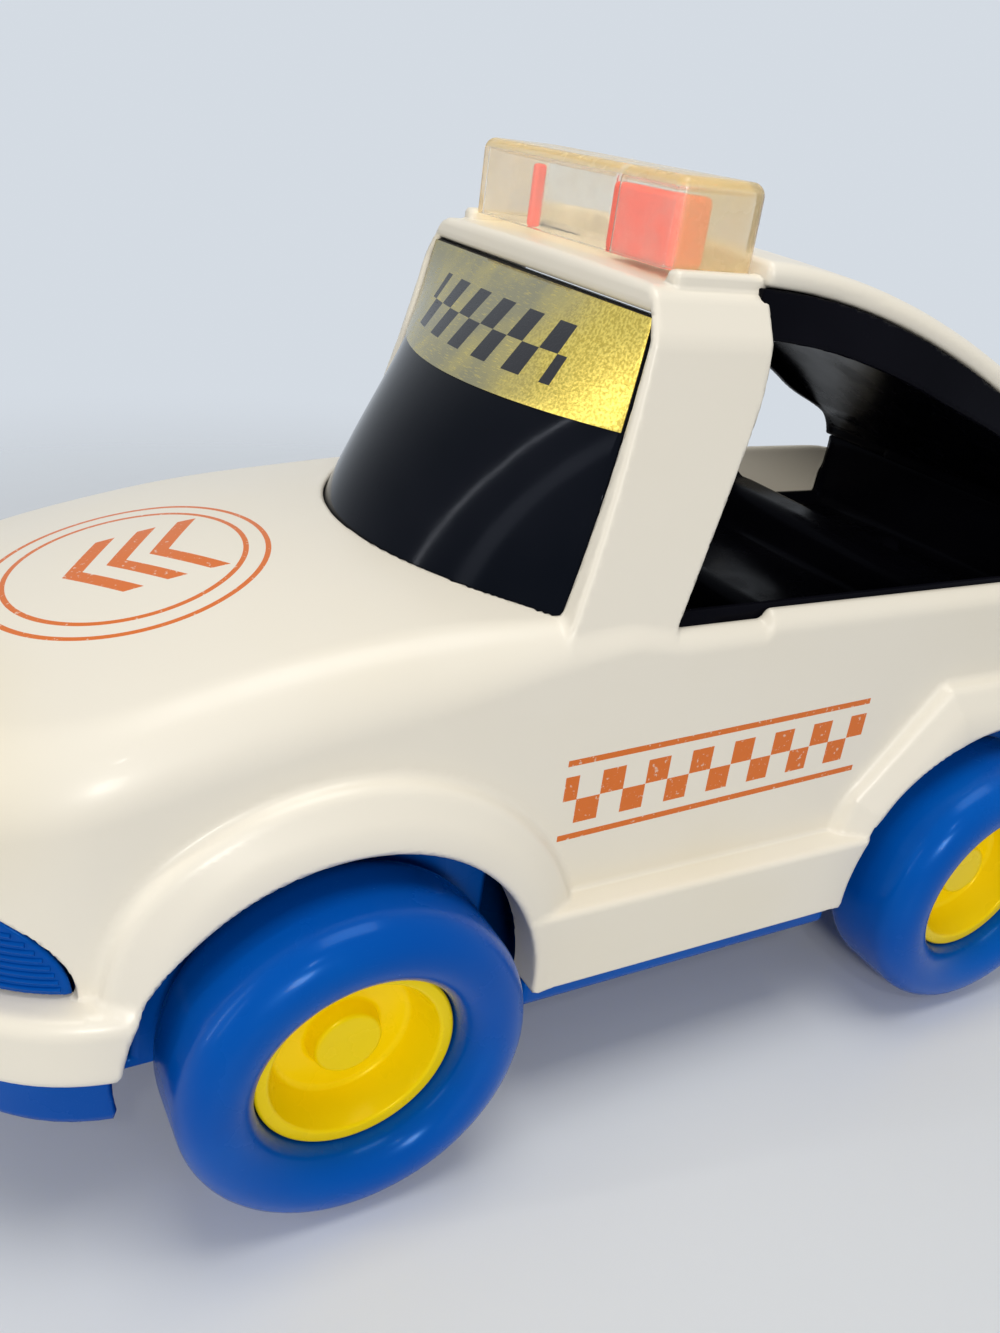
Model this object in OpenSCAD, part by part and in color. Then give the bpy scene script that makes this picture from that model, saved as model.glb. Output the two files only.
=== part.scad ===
// Toy police car: a white body shell on a blue chassis tray, with an open-sided
// black cabin, a smoked windscreen, a roof light and two rolling axle sets.
// X points to the front, Y to the car's left, Z up. The tyres stand on Z = 0.

/* [Wheels] */
// Outside diameter of the tyres
tyre_d = 64; // [60:1:68]
// Width of the tyres
tyre_w = 25; // [22:1:27]
// Radius of the rounded outer shoulders of the tyres
tyre_shoulder_r = 7.5; // [4:0.5:8]
// Radius of the rounded edge round the hole of the tyres
tyre_lip_r = 3.5; // [2:0.5:4]
// Diameter of the hole in the tyres that the hubs fill
tyre_bore_d = 37; // [34:0.5:39]
// Distance between the outer faces of the left and right tyres
track_w = 146; // [142:1:152]
// How far the hub rims sit inside the outer faces of the tyres
hub_recess = 6.5; // [4:0.5:8]
// Depth of the hubs along the axle
hub_depth = 16; // [14:0.5:17]
// Width of the flat rim round the dish of the hubs
hub_rim_w = 2.2; // [1.5:0.1:3]
// Depth of the dish in the hubs
hub_dish = 8; // [6:0.5:9]
// Diameter of the centre boss of the hubs
hub_boss_d = 13; // [11:0.5:15]
// Height of the centre boss above the floor of the dish
hub_boss_h = 4; // [3:0.5:5]
// Diameter of the steel axles
axle_d = 4; // [3:0.1:5]
// How far the axles reach into the hubs
axle_grip = 10; // [8:0.5:11]
// Distance between the front and rear axles
wheelbase = 158; // [150:1:170]

/* [Body] */
// Distance from the front axle to the front of the bumper
front_overhang = 75; // [73:0.5:80]
// Distance from the rear axle to the back of the bumper
rear_overhang = 60; // [58:0.5:70]
// Width of the body over the sills and flares
sill_w = 122.8; // [120:0.2:124]
// How far the sills and flares stand out from the body sides
sill_step = 5.9; // [5.4:0.1:6.4]
// How far the body sides lean in from the sill to the belt line
side_lean = 1.8; // [1:0.1:2.5]
// Height of the belt line
belt_z = 105; // [103:0.5:108]
// Height of the underside of the bumpers
bumper_z = 34; // [33:0.5:36]
// Height of the shelf on top of the bumpers
bumper_top_z = 48.5; // [47:0.1:51]
// How far the bumpers stand out from the nose and tail
bumper_step = 3; // [2:0.1:4]
// Height of the underside of the sills
sill_z = 31; // [29:0.5:33]
// Height of the top of the sill steps
sill_top_z = 48; // [46:0.5:51]
// Drop of the bonnet from the belt line to the nose
bonnet_drop = 26; // [22:0.5:28]
// Radius of the rounded shoulders along the bonnet
shoulder_r = 8; // [6:0.5:10]
// Radius of the rounded edge along the belt line
belt_r = 4; // [3:0.5:5]
// Rise of the bonnet and roof from the edges to the middle
crown = 2; // [1:0.1:3]
// Wall thickness of the body shell
wall = 2.5; // [2:0.1:3]
// Gap between the tyres and the wheel-arch lips
arch_gap = 6.3; // [5:0.1:7]
// Width of the raised flares round the wheel arches
flare_w = 11.5; // [9:0.5:12]
// Height of the flares' outer edge above the body side
flare_step = 1.5; // [1:0.1:2]

/* [Cabin] */
// Distance from the front axle back to the foot of the windscreen's corners
screen_back = 41; // [38:0.5:44]
// How far the foot of the windscreen bows forward of its corners
screen_bow = 22; // [18:0.5:24]
// How far the windscreen leans back from its corners' foot to its top edge
screen_lean = 12; // [9:0.5:15]
// Height of the top edge of the windscreen
screen_top_z = 155; // [152:0.5:156]
// Thickness of the windscreen
screen_t = 2; // [1.5:0.1:2.5]
// Height of the lower edge of the gold band
band_z = 135.5; // [130:0.5:140]
// Thickness of the gold band
band_t = 0.3; // [0.2:0.05:0.4]
// Length of the windscreen pillars along the body side
pillar_l = 25; // [22:0.5:28]
// How far the pillars sit inside the body sides at the belt line
pillar_in = 4; // [3:0.1:5]
// How far the pillars lean in from the belt line to the roof
tumblehome = 7.5; // [6:0.5:9]
// Height of the roof edges
roof_z = 159; // [158:0.5:163]
// Depth of the bevel between the roof edges and the fold above the pillars
roof_bevel_h = 7.5; // [5:0.5:10]
// How far the roof leans in above the fold
roof_lean = 3.5; // [2:0.5:5]
// Thickness of the roof and of the roof strip's lower layer at their edges
roof_t = 2.6; // [2:0.1:3]
// Height of the roof strip behind the light above the roof
strip_rise = 4.4; // [2:0.1:5]
// Distance from the back of the bumper to the end of the roof strip
strip_back = 6; // [5:0.5:12]
// Depth of the black channel under the roof strip
channel_h = 8.5; // [7:0.5:10]
// Wall thickness of the cabin liner
liner_t = 2; // [1.6:0.1:2.5]
// Height of the cabin floor
floor_z = 72; // [69:0.5:76]
// Room between the windscreen's foot and the dash
dash_gap = 2; // [1.5:0.1:3]
// Length of the dash behind the windscreen
dash_l = 24; // [18:0.5:30]
// Length of the seat cushion
seat_l = 34; // [28:0.5:40]
// Height of the seat cushion above the cabin floor
seat_h = 12; // [8:0.5:15]
// Gap between pieces that are set into each other
fit = 0.2; // [0.1:0.05:0.3]

/* [Roof light] */
// Distance from the roof's edges to the ends of the light cover
cover_margin = 4.5; // [4:0.1:7]
// Length of the light cover along the roof
cover_l = 19; // [17:0.5:21]
// Height of the light cover
cover_h = 17.3; // [15:0.1:19]
// Wall thickness of the light cover
cover_t = 1.6; // [1.2:0.1:2]
// Radius of the rounded corners of the light cover
cover_r = 3; // [2.2:0.1:4]
// Distance from the top of the windscreen back to the light cover
cover_back = 5.5; // [4:0.5:7]
// Thickness of the lugs that hold the ends of the light cover
lug_t = 2.4; // [2:0.1:3]
// Height of the lugs above the roof edges
lug_h = 2.6; // [2:0.1:4]
// Width of the red beacon block
beacon_w = 21; // [16:0.5:22]
// Length of the red beacon block
beacon_l = 8; // [7:0.5:9]
// Height of the red beacon block
beacon_h = 12; // [9:0.5:13]
// Offset of the red beacon block to the left of the middle
beacon_off = 11; // [0:0.5:14]

/* [Headlights] */
// Height of the headlight inserts at the front
lamp_h = 19; // [16:0.5:21]
// Distance from the middle of the nose to the headlight inserts
lamp_in = 20; // [16:0.5:24]
// Thickness of the headlight inserts
lamp_t = 4; // [3.5:0.1:5]

/* [Chassis] */
// Height of the chassis above the ground
chassis_z = 24; // [22:0.5:26]
// How far the chassis edge sits inside the bumpers and sills
chassis_inset = 4; // [3:0.1:5]
// Wall and floor thickness of the chassis tray
tray_t = 2.4; // [2:0.1:3]
// Height of the wheel-well walls above the chassis floor
well_h = 36; // [30:0.5:40]
// Width of the axle bearing posts
post_w = 6; // [5:0.5:8]
// Length of the axle bearing posts along the car
post_l = 12; // [10:0.5:14]
// Running clearance of the axles in their bearings, on the radius
running_gap = 0.08; // [0.04:0.01:0.1]
// Room between the chassis and the inner faces of the tyres
tyre_room = 2; // [1.5:0.5:3]
// Diameter of the chassis screws
screw_d = 3; // [2.5:0.1:3.5]
// Length of the chassis screws under the head
screw_l = 12; // [10:0.5:16]
// Diameter of the chassis screw heads
screw_head_d = 5.6; // [5:0.1:6]
// Height of the chassis screw heads
screw_head_h = 1.8; // [1.5:0.1:2]
// Diameter of the screw posts in the body shell
screw_post_d = 8; // [7:0.5:9]
// Distance of the screws from the car's middle line
screw_y = 16; // [12:0.5:18]

/* [Hidden] */

// Overrun of cuts, smallest step and smoothness of round faces
over = 1;
hair = 0.01;
round_fn = 64;
corner_fn = 24;
front_flare_sides = 48;
rear_flare_sides = 8;
// Gaps of the axles in the hubs and of the hubs in the tyres, on the radius
axle_gap = 0.02;
hub_gap = 0.3;

tyre_r = tyre_d / 2;
bore_r = tyre_bore_d / 2;
body_l = front_overhang + wheelbase + rear_overhang;
front_x = body_l / 2 - front_overhang;
rear_x = front_x - wheelbase;
nose_x = body_l / 2;
tail_x = -body_l / 2;

// Outlines seen from above: full width, then a superellipse at each end
end_power = 2.4;
bonnet_power = 1.8;
nose_round_l = 45;
tail_round_l = 34;
end_steps = 10;
end_angle = 86;
bonnet_steps = 5;
arc_step = 15;

arch_r = tyre_r + arch_gap;
flare_r = arch_r + flare_w;
sill_y = sill_w / 2;
side_y = sill_y - sill_step;

screen_x = front_x - screen_back;
screen_top_x = screen_x - screen_lean;
screen_steps = 8;
pillar_y = side_y - pillar_in;
roof_y = pillar_y - tumblehome;
roof_fold_z = roof_z - roof_bevel_h;
screen_y = pillar_y - wall;
screen_top_y = roof_y - wall;
screen_low_z = belt_z - screen_t;
pillar_back_x = screen_x - pillar_l;
cover_w = 2 * (roof_y - roof_lean - cover_margin);
cover_front_x = screen_top_x - cover_back;
cover_back_x = cover_front_x - cover_l;
cover_floor_z = roof_z + crown + fit;
roof_front_x = screen_top_x + over;
roof_back_x = cover_back_x - over;
deck_x = rear_x - arch_r - over;
strip_steps = 12;
strip_power = 1.7;
strip_back_x = tail_x + strip_back;
deck_y = side_y - side_lean - belt_r / 2;
channel_share = 0.9;

opening_y = pillar_y - wall - over;
opening_back_x = deck_x + shoulder_r;
tub_back_x = opening_back_x + fit;
tub_rim_z = belt_z - over;

tyre_out_y = track_w / 2;
tyre_in_y = tyre_out_y - tyre_w;
hub_out_y = tyre_out_y - hub_recess;
axle_l = 2 * (hub_out_y - hub_depth + axle_grip);
tray_y = tyre_in_y - tyre_room;
wheel_room_l = tyre_d + 2 * tyre_room;
screw_front_x = front_x + arch_r + screw_post_d;
screw_rear_x = rear_x - arch_r - screw_post_d / 2;

// Share of the full width left at x when the ends are drawn in by inset
function end_share(x, inset) =
    let (
        f = (x - (nose_x - nose_round_l)) / (nose_round_l - inset),
        r = ((tail_x + tail_round_l) - x) / (tail_round_l - inset),
        t = min(1, max(0, max(f, r)))
    ) pow(1 - pow(t, end_power), 1 / end_power);

// Height of the body's shoulder line at x
function shoulder_z(x) =
    let (
        f = max(0, (x - screen_x) / (nose_x - screen_x)),
        r = max(0, (deck_x - x) / (deck_x - tail_x))
    ) belt_z - bonnet_drop * pow(f, bonnet_power) - shoulder_r * pow(r, 2);

// Places along the car where the body is sliced, from the tail to the nose
function stations(inset) =
    let (
        nose_0 = nose_x - nose_round_l,
        tail_0 = tail_x + tail_round_l,
        reach = [for (i = [1 : end_steps]) pow(sin(end_angle * i / end_steps), 2 / end_power)]
    ) concat(
        [for (i = [end_steps - 1 : -1 : 0]) tail_0 - (tail_round_l - inset) * reach[i]],
        [tail_0, pillar_back_x],
        [for (i = [0 : bonnet_steps]) screen_x + (nose_0 - screen_x) * i / bonnet_steps],
        [for (t = reach) nose_0 + (nose_round_l - inset) * t]
    );

// Half-width over the pillars and roof at height z
function cabin_y(z) =
    z > roof_fold_z
        ? roof_y - roof_lean * (z - roof_fold_z) / (roof_z - roof_fold_z)
        : pillar_y - (pillar_y - roof_y) * (z - belt_z) / (roof_fold_z - belt_z);

// Height of the roof strip's edge at x: flat over the cabin, then a curve down to the tail
function strip_z(x) =
    let (u = max(0, (roof_back_x - x) / (roof_back_x - strip_back_x)))
    belt_z + (roof_z - belt_z) * (1 - pow(u, strip_power));

// A right half outline followed by its mirror image on the left
function both_sides(right) =
    concat(right, [for (i = [len(right) - 1 : -1 : 0]) [-right[i][0], right[i][1]]]);

function ring_at_x(x, outline) = [for (p = outline) [x, p[0], p[1]]];
function ring_at_z(z, outline) = [for (p = outline) [p[0], p[1], z]];

// Solid through rings of points that run anticlockwise seen from the last ring
module loft(rings) {
    n = len(rings[0]);
    m = len(rings);
    sides = [
        for (i = [0 : m - 2])
            for (j = [0 : n - 1])
                let (k = (j + 1) % n)
                each [
                    [i * n + j, (i + 1) * n + j, (i + 1) * n + k],
                    [i * n + j, (i + 1) * n + k, i * n + k]
                ]
    ];
    first = [for (j = [0 : n - 1]) j];
    last = [for (j = [n - 1 : -1 : 0]) (m - 1) * n + j];
    polyhedron([for (r = rings) for (p = r) p], concat(sides, [first, last]));
}

// Outline across the body at x, a depth inside its outer face
function body_outline(x, depth, low_z) =
    let (
        share = end_share(x, bumper_step + depth),
        w = (side_y - depth) * share,
        top_z = shoulder_z(x) - depth,
        r = min(x < screen_x ? belt_r : shoulder_r, w / 2),
        mid_y = w - side_lean * share - r
    ) both_sides(concat(
        [[w, low_z]],
        [for (a = [0 : arc_step : 90]) [mid_y + r * cos(a), top_z - r + r * sin(a)]],
        [[mid_y / 2, top_z + crown * share]]
    ));

// The body below the belt line as a solid, a depth inside its outer face
module body_block(depth, low_z) {
    loft([for (x = stations(bumper_step + depth)) ring_at_x(x, body_outline(x, depth, low_z))]);
}

// Outline of the bumpers and chassis from above
module plan_outline(half_w, inset) {
    xs = stations(inset);
    polygon(concat(
        [for (x = xs) [x, -half_w * end_share(x, inset)]],
        [for (i = [len(xs) - 1 : -1 : 0]) [xs[i], half_w * end_share(xs[i], inset)]]
    ));
}

// Both bumpers, up to the given distance from the axles
module bumpers(inset, low_z, high_z, from_axle) {
    difference() {
        translate([0, 0, low_z])
            linear_extrude(high_z - low_z)
                plan_outline(sill_y - inset, inset);
        translate([rear_x - from_axle, -sill_w, 0])
            cube([wheelbase + 2 * from_axle, 2 * sill_w, belt_z]);
    }
}

// Raised band round the wheel arches of one axle, round or with flat facets
module flare(x, sides) {
    base_y = side_y - side_lean - wall;
    edge_y = side_y + flare_step;
    widen = 1 / cos(180 / sides);
    lip_r = arch_r + flare_w / 3;
    for (s = [-1, 1])
        translate([x, 0, tyre_r])
            rotate([-90 * s, 180 / sides, 0])
                hull() {
                    translate([0, 0, base_y])
                        cylinder(r = flare_r * widen, h = edge_y - base_y, $fn = sides);
                    translate([0, 0, base_y])
                        cylinder(r = lip_r * widen, h = sill_y - base_y, $fn = sides);
                }
}

// Sill step along the left side, from arch to arch
module sill() {
    inner_y = side_y - side_lean - wall;
    outline = [
        [inner_y, sill_z - over],
        [sill_y, sill_z - over],
        [sill_y, sill_top_z - over],
        [sill_y - over, sill_top_z],
        [inner_y, sill_top_z]
    ];
    loft([for (x = [rear_x + tyre_r, front_x - tyre_r]) ring_at_x(x, outline)]);
}

// Layer of the roof between two heights above its edge line, at the given places
module roof_layer(xs, low, high) {
    loft([
        for (x = xs)
            let (z = strip_z(x), y = min(cabin_y(z), deck_y * end_share(x, bumper_step)))
            ring_at_x(x, both_sides([[y, z + low], [y, z + high], [y / 2, z + high + crown]]))
    ]);
}

// Roof and the thick strip that sweeps back from it to the tail
module roof_strip() {
    xs = [for (i = [strip_steps : -1 : 0]) roof_back_x + (strip_back_x - roof_back_x) * i / strip_steps];
    roof_layer(concat(xs, [roof_front_x]), -roof_t, 0);
    roof_layer(xs, -roof_t / 2, strip_rise);
}

// Windscreen pillar on the left side, in two stretches that meet at the roof fold
module pillar() {
    levels = [belt_z - shoulder_r, roof_fold_z, roof_z - roof_t / 2];
    for (i = [0, 1])
        hull()
            for (z = [levels[i], levels[i + 1]])
                let (lean = screen_lean * (z - belt_z) / (screen_top_z - belt_z))
                translate([screen_x - pillar_l - lean, cabin_y(z) - wall, z])
                    cube([pillar_l, wall, hair]);
}

// Bowed front edge of the windscreen's foot, moved forward by grow
function screen_foot(grow, half) = [
    for (i = [-screen_steps : screen_steps])
        [screen_x + screen_bow * (1 - pow(i / screen_steps, 2)) + grow, half * i / screen_steps]
];

// Solid whose front is the windscreen's face: bowed at the foot, straight at the top
module screen_block(grow, side_grow, low_z, top_z) {
    back_x = screen_top_x - screen_lean;
    foot_y = screen_y + side_grow;
    top_y = screen_top_y + side_grow;
    top = [for (i = [-screen_steps : screen_steps]) [screen_top_x + grow, top_y * i / screen_steps]];
    loft([
        ring_at_z(low_z, concat(screen_foot(grow, foot_y), [[back_x, foot_y], [back_x, -foot_y]])),
        ring_at_z(top_z, concat(top, [[back_x, top_y], [back_x, -top_y]]))
    ]);
}

// Everything behind the pillars' front faces, which the windscreen stops at
module behind_screen() {
    loft([
        for (z = [belt_z - shoulder_r, belt_z, roof_z + shoulder_r])
            let (x = screen_x - screen_t - screen_lean * max(0, (z - belt_z) / (screen_top_z - belt_z)))
            ring_at_z(z, [[x - 2 * pillar_l, -sill_w], [x, -sill_w], [x, sill_w], [x - 2 * pillar_l, sill_w]])
    ]);
}

// Plan of the cabin well, from the windscreen's foot to the deck
module cabin_plan(gap) {
    intersection() {
        polygon(concat(
            screen_foot(-screen_t - dash_gap - gap, screen_y),
            [[opening_back_x + gap, screen_y], [opening_back_x + gap, -screen_y]]
        ));
        square([2 * body_l, 2 * (opening_y - gap)], center = true);
    }
}

// Region of the nose that the left headlight fills
module lamp_window(grow) {
    back_x = front_x + arch_r + flare_w / 2;
    shoulder_x = (nose_x + back_x) / 2;
    translate([0, lamp_in - grow, 0])
        rotate([90, 0, 0])
            mirror([0, 0, 1])
                linear_extrude(sill_w)
                    polygon([
                        [back_x - grow, bumper_top_z - grow],
                        [nose_x + over, bumper_top_z - grow],
                        [nose_x + over, bumper_top_z + lamp_h + grow],
                        [shoulder_x, bumper_top_z + lamp_h - over + grow],
                        [back_x + lamp_t, bumper_top_z + lamp_h / 2 + grow]
                    ]);
}

// Posts in the body shell that the chassis screws bite into
module screw_posts(d, low_z, high_z) {
    for (x = [screw_front_x, screw_rear_x])
        for (s = [-1, 1])
            translate([x, s * screw_y, low_z])
                cylinder(d = d, h = high_z - low_z, $fn = corner_fn);
}

// Outside of the lower body with its bumpers, flares and sills
module body_outside() {
    body_block(0, bumper_z);
    bumpers(0, bumper_z, bumper_top_z, 0);
    flare(front_x, front_flare_sides);
    flare(rear_x, rear_flare_sides);
    for (s = [0, 1])
        mirror([0, s, 0])
            sill();
}

// Hollow inside of the lower body and bumpers
module body_inside() {
    difference() {
        union() {
            body_block(wall, sill_z - over);
            bumpers(chassis_inset + tray_t / 2, sill_z - over, bumper_top_z - wall, arch_r + over);
        }
        screw_posts(screw_post_d, chassis_z, belt_z);
    }
}

// Everything under the shell's lower edge, which is lower along the sills than at the bumpers
module below_shell() {
    translate([-body_l, -sill_w, sill_z - belt_z])
        cube([2 * body_l, 2 * sill_w, belt_z]);
    for (x = [front_x, rear_x - body_l])
        translate([x, -sill_w, bumper_z - belt_z])
            cube([body_l, 2 * sill_w, belt_z]);
}

module body_shell() {
    color("ivory")
        difference() {
            union() {
                difference() {
                    body_outside();
                    body_inside();
                    below_shell();
                    for (x = [front_x, rear_x])
                        translate([x, 0, tyre_r])
                            rotate([90, 0, 0])
                                cylinder(r = arch_r, h = 2 * sill_w, center = true, $fn = round_fn);
                    translate([0, 0, floor_z - liner_t - fit])
                        linear_extrude(belt_z)
                            cabin_plan(0);
                    for (s = [0, 1])
                        mirror([0, s, 0])
                            lamp_window(fit);
                }
                roof_strip();
                screw_posts(screw_post_d, chassis_z + tray_t + fit, bumper_z + over);
                for (s = [0, 1])
                    mirror([0, s, 0]) {
                        pillar();
                        translate([cover_back_x, cover_w / 2 + fit, roof_z - roof_t / 2])
                            cube([cover_l, lug_t, roof_t / 2 + lug_h]);
                    }
            }
            screen_block(fit, fit, screen_low_z - fit, screen_top_z + fit);
            screw_posts(screw_d, chassis_z, chassis_z + tray_t + screw_l + over);
        }
}

module chassis() {
    color("royalblue")
        difference() {
            union() {
                difference() {
                    translate([0, 0, chassis_z])
                        linear_extrude(bumper_z - chassis_z)
                            plan_outline(sill_y - chassis_inset, chassis_inset);
                    translate([rear_x, -sill_w, sill_z])
                        cube([wheelbase, 2 * sill_w, belt_z]);
                    translate([0, 0, chassis_z + tray_t])
                        linear_extrude(belt_z)
                            plan_outline(sill_y - chassis_inset - tray_t, chassis_inset + tray_t);
                    for (x = [front_x, rear_x])
                        for (s = [-1, 1])
                            translate([x - wheel_room_l / 2, s * (tray_y + sill_y) - sill_y, 0])
                                cube([wheel_room_l, 2 * sill_y, belt_z]);
                }
                for (x = [front_x, rear_x])
                    for (s = [-1, 1]) {
                        translate([x - post_l / 2, s * (tray_y - post_w / 2) - post_w / 2, chassis_z])
                            cube([post_l, post_w, tyre_r + axle_d + tray_t - chassis_z]);
                        translate([x - wheel_room_l / 2, s * (tray_y - tray_t / 2) - tray_t / 2, chassis_z])
                            cube([wheel_room_l, tray_t, well_h]);
                    }
            }
            for (x = [front_x, rear_x])
                translate([x, 0, tyre_r])
                    rotate([90, 0, 0])
                        cylinder(r = axle_d / 2 + running_gap, h = track_w, center = true, $fn = round_fn);
            for (x = [screw_front_x, screw_rear_x])
                for (s = [-1, 1])
                    translate([x, s * screw_y, chassis_z - over]) {
                        cylinder(d = screw_d + 2 * fit, h = tray_t + 2 * over, $fn = round_fn);
                        cylinder(d = screw_head_d + 2 * fit, h = over + screw_head_h, $fn = round_fn);
                    }
        }
}

// Stretch of the black lining under the roof strip between two widths and depths
module channel(outer_in, inner_share, depth) {
    front_end_x = screen_top_x - pillar_l - 2 * over;
    back_end_x = tub_back_x - channel_h;
    loft([
        for (i = [strip_steps : -1 : 0])
            let (
                x = front_end_x + (back_end_x - front_end_x) * i / strip_steps,
                z = strip_z(x) - roof_t - fit,
                low_z = max(z - depth, belt_z + crown + fit),
                y = min(cabin_y(z), opening_y),
                inner_y = y * inner_share
            )
            ring_at_x(x, [[inner_y, low_z], [y - outer_in, low_z], [y - outer_in, z], [inner_y, z]])
    ]);
}

// Part of the cabin well's plan between two places along the car
module cabin_stretch(gap, back_x, front_x) {
    intersection() {
        cabin_plan(gap);
        translate([back_x, -sill_w])
            square([front_x - back_x, 2 * sill_w]);
    }
}

// Tub of the cabin with its dash and seat, both hollow from below
module tub() {
    inner = fit + liner_t;
    seat_x = tub_back_x + seat_l;
    dash_back_x = pillar_back_x - dash_l;
    seat_top_z = floor_z + seat_h;
    difference() {
        translate([0, 0, floor_z - liner_t])
            linear_extrude(tub_rim_z - floor_z + liner_t)
                cabin_plan(fit);
        translate([0, 0, floor_z])
            linear_extrude(belt_z)
                cabin_stretch(inner, seat_x, dash_back_x);
        translate([0, 0, seat_top_z])
            linear_extrude(belt_z)
                cabin_stretch(inner, tub_back_x, seat_x + over);
        translate([0, 0, floor_z - liner_t - over])
            linear_extrude(tub_rim_z - floor_z + over)
                cabin_stretch(inner, dash_back_x + liner_t, nose_x);
        translate([0, 0, floor_z - liner_t - over])
            linear_extrude(seat_h + over)
                cabin_stretch(inner, tub_back_x, seat_x - liner_t);
    }
}

module cabin_liner() {
    color("black")
        tub();
}

module roof_lining() {
    color("black")
        for (s = [0, 1])
            mirror([0, s, 0]) {
                channel(liner_t, 0, liner_t);
                channel(0, channel_share, channel_h);
            }
}

module windscreen() {
    color("black")
        difference() {
            screen_block(0, 0, screen_low_z, screen_top_z);
            screen_block(-screen_t, -screen_t, screen_low_z - over, screen_top_z + over);
            behind_screen();
        }
}

module screen_band() {
    color("gold")
        intersection() {
            difference() {
                screen_block(band_t, 0, screen_low_z, screen_top_z);
                screen_block(0, 0, screen_low_z, screen_top_z);
            }
            translate([screen_top_x, -screen_y + over, band_z])
                cube([2 * screen_bow, 2 * (screen_y - over), screen_top_z - band_z - over]);
        }
}

// Box with round upright edges and a round top edge
module rounded_box(l, w, h, r) {
    hull()
        for (x = [r, l - r])
            for (y = [r - w / 2, w / 2 - r]) {
                translate([x, y, 0])
                    cylinder(r = r, h = r, $fn = corner_fn);
                translate([x, y, h - r])
                    sphere(r, $fn = corner_fn);
            }
}

module light_cover() {
    inner_r = cover_r - cover_t;
    h = cover_h - crown - fit;
    color("khaki", 0.5)
        translate([cover_back_x, 0, cover_floor_z])
            difference() {
                rounded_box(cover_l, cover_w, h, cover_r);
                translate([cover_t, 0, -over])
                    rounded_box(cover_l - 2 * cover_t, cover_w - 2 * cover_t, h - cover_t + over, inner_r);
            }
}

module beacon_block() {
    color("tomato")
        translate([cover_back_x + cover_t + over, beacon_off, cover_floor_z])
            rounded_box(beacon_l, beacon_w, beacon_h, beacon_l / 4);
}

module headlight() {
    color("royalblue")
        intersection() {
            difference() {
                body_block(fit, bumper_z);
                body_block(lamp_t, bumper_z - over);
            }
            lamp_window(0);
        }
}

module headlight_left() {
    headlight();
}

module headlight_right() {
    mirror([0, 1, 0])
        headlight();
}

module axle(x) {
    color("silver")
        translate([x, 0, tyre_r])
            rotate([90, 0, 0])
                cylinder(d = axle_d, h = axle_l, center = true, $fn = round_fn);
}

module front_axle() {
    axle(front_x);
}

module rear_axle() {
    axle(rear_x);
}

// Round section of the tyre: big outer shoulders and small edges at the hole
module tyre_profile() {
    half = tyre_w / 2;
    shoulder_x = tyre_r - tyre_shoulder_r;
    lip_x = bore_r + tyre_lip_r;
    intersection() {
        translate([bore_r, -half])
            square([tyre_r - bore_r, tyre_w]);
        union() {
            for (s = [-1, 1]) {
                translate([shoulder_x, s * (half - tyre_shoulder_r)])
                    circle(tyre_shoulder_r, $fn = round_fn);
                translate([lip_x, s * (half - tyre_lip_r)])
                    circle(tyre_lip_r, $fn = round_fn);
            }
            translate([lip_x, -half])
                square([shoulder_x - lip_x, tyre_w]);
            translate([bore_r, -half + tyre_lip_r])
                square([tyre_lip_r + hair, tyre_w - 2 * tyre_lip_r]);
            translate([shoulder_x, -half + tyre_shoulder_r])
                square([tyre_shoulder_r, tyre_w - 2 * tyre_shoulder_r]);
        }
    }
}

module tyre(x, s) {
    color("royalblue")
        translate([x, s * (tyre_out_y - tyre_w / 2), tyre_r])
            rotate([90, 0, 0])
                rotate_extrude($fn = round_fn)
                    tyre_profile();
}

// Dished hub with a centre boss and a blind hole for the axle
module hub(x, s) {
    rim_r = bore_r - hub_gap;
    hole_r = axle_d / 2 + axle_gap;
    boss_r = hub_boss_d / 2;
    floor_y = hub_depth - hub_dish;
    color("gold")
        translate([x, s * (hub_out_y - hub_depth), tyre_r])
            rotate([-90 * s, 0, 0])
                rotate_extrude($fn = round_fn)
                    polygon([
                        [hole_r, 0],
                        [rim_r, 0],
                        [rim_r, hub_depth],
                        [rim_r - hub_rim_w, hub_depth],
                        [(rim_r + boss_r) / 2, floor_y],
                        [boss_r + over / 2, floor_y],
                        [boss_r, floor_y + hub_boss_h],
                        [0, floor_y + hub_boss_h],
                        [0, axle_grip],
                        [hole_r, axle_grip]
                    ]);
}

module tyre_front_left() {
    tyre(front_x, 1);
}

module tyre_front_right() {
    tyre(front_x, -1);
}

module tyre_rear_left() {
    tyre(rear_x, 1);
}

module tyre_rear_right() {
    tyre(rear_x, -1);
}

module hub_front_left() {
    hub(front_x, 1);
}

module hub_front_right() {
    hub(front_x, -1);
}

module hub_rear_left() {
    hub(rear_x, 1);
}

module hub_rear_right() {
    hub(rear_x, -1);
}

module chassis_screws() {
    color("silver")
        for (x = [screw_front_x, screw_rear_x])
            for (s = [-1, 1])
                translate([x, s * screw_y, chassis_z]) {
                    cylinder(d = screw_head_d, h = screw_head_h - hair, $fn = round_fn);
                    cylinder(d = screw_d - fit, h = tray_t + screw_l, $fn = round_fn);
                }
}

body_shell();
chassis();
cabin_liner();
roof_lining();
windscreen();
screen_band();
light_cover();
beacon_block();
headlight_left();
headlight_right();
front_axle();
rear_axle();
tyre_front_left();
tyre_front_right();
tyre_rear_left();
tyre_rear_right();
hub_front_left();
hub_front_right();
hub_rear_left();
hub_rear_right();
chassis_screws();
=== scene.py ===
"""Looks of a toy police car: moulded shells, turned wheels and procedural plastic finishes."""

import logging
import math
from collections.abc import Callable
from dataclasses import dataclass
from enum import Enum

import bmesh
import bpy
import numpy as np
from mathutils import Matrix, Vector


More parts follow.
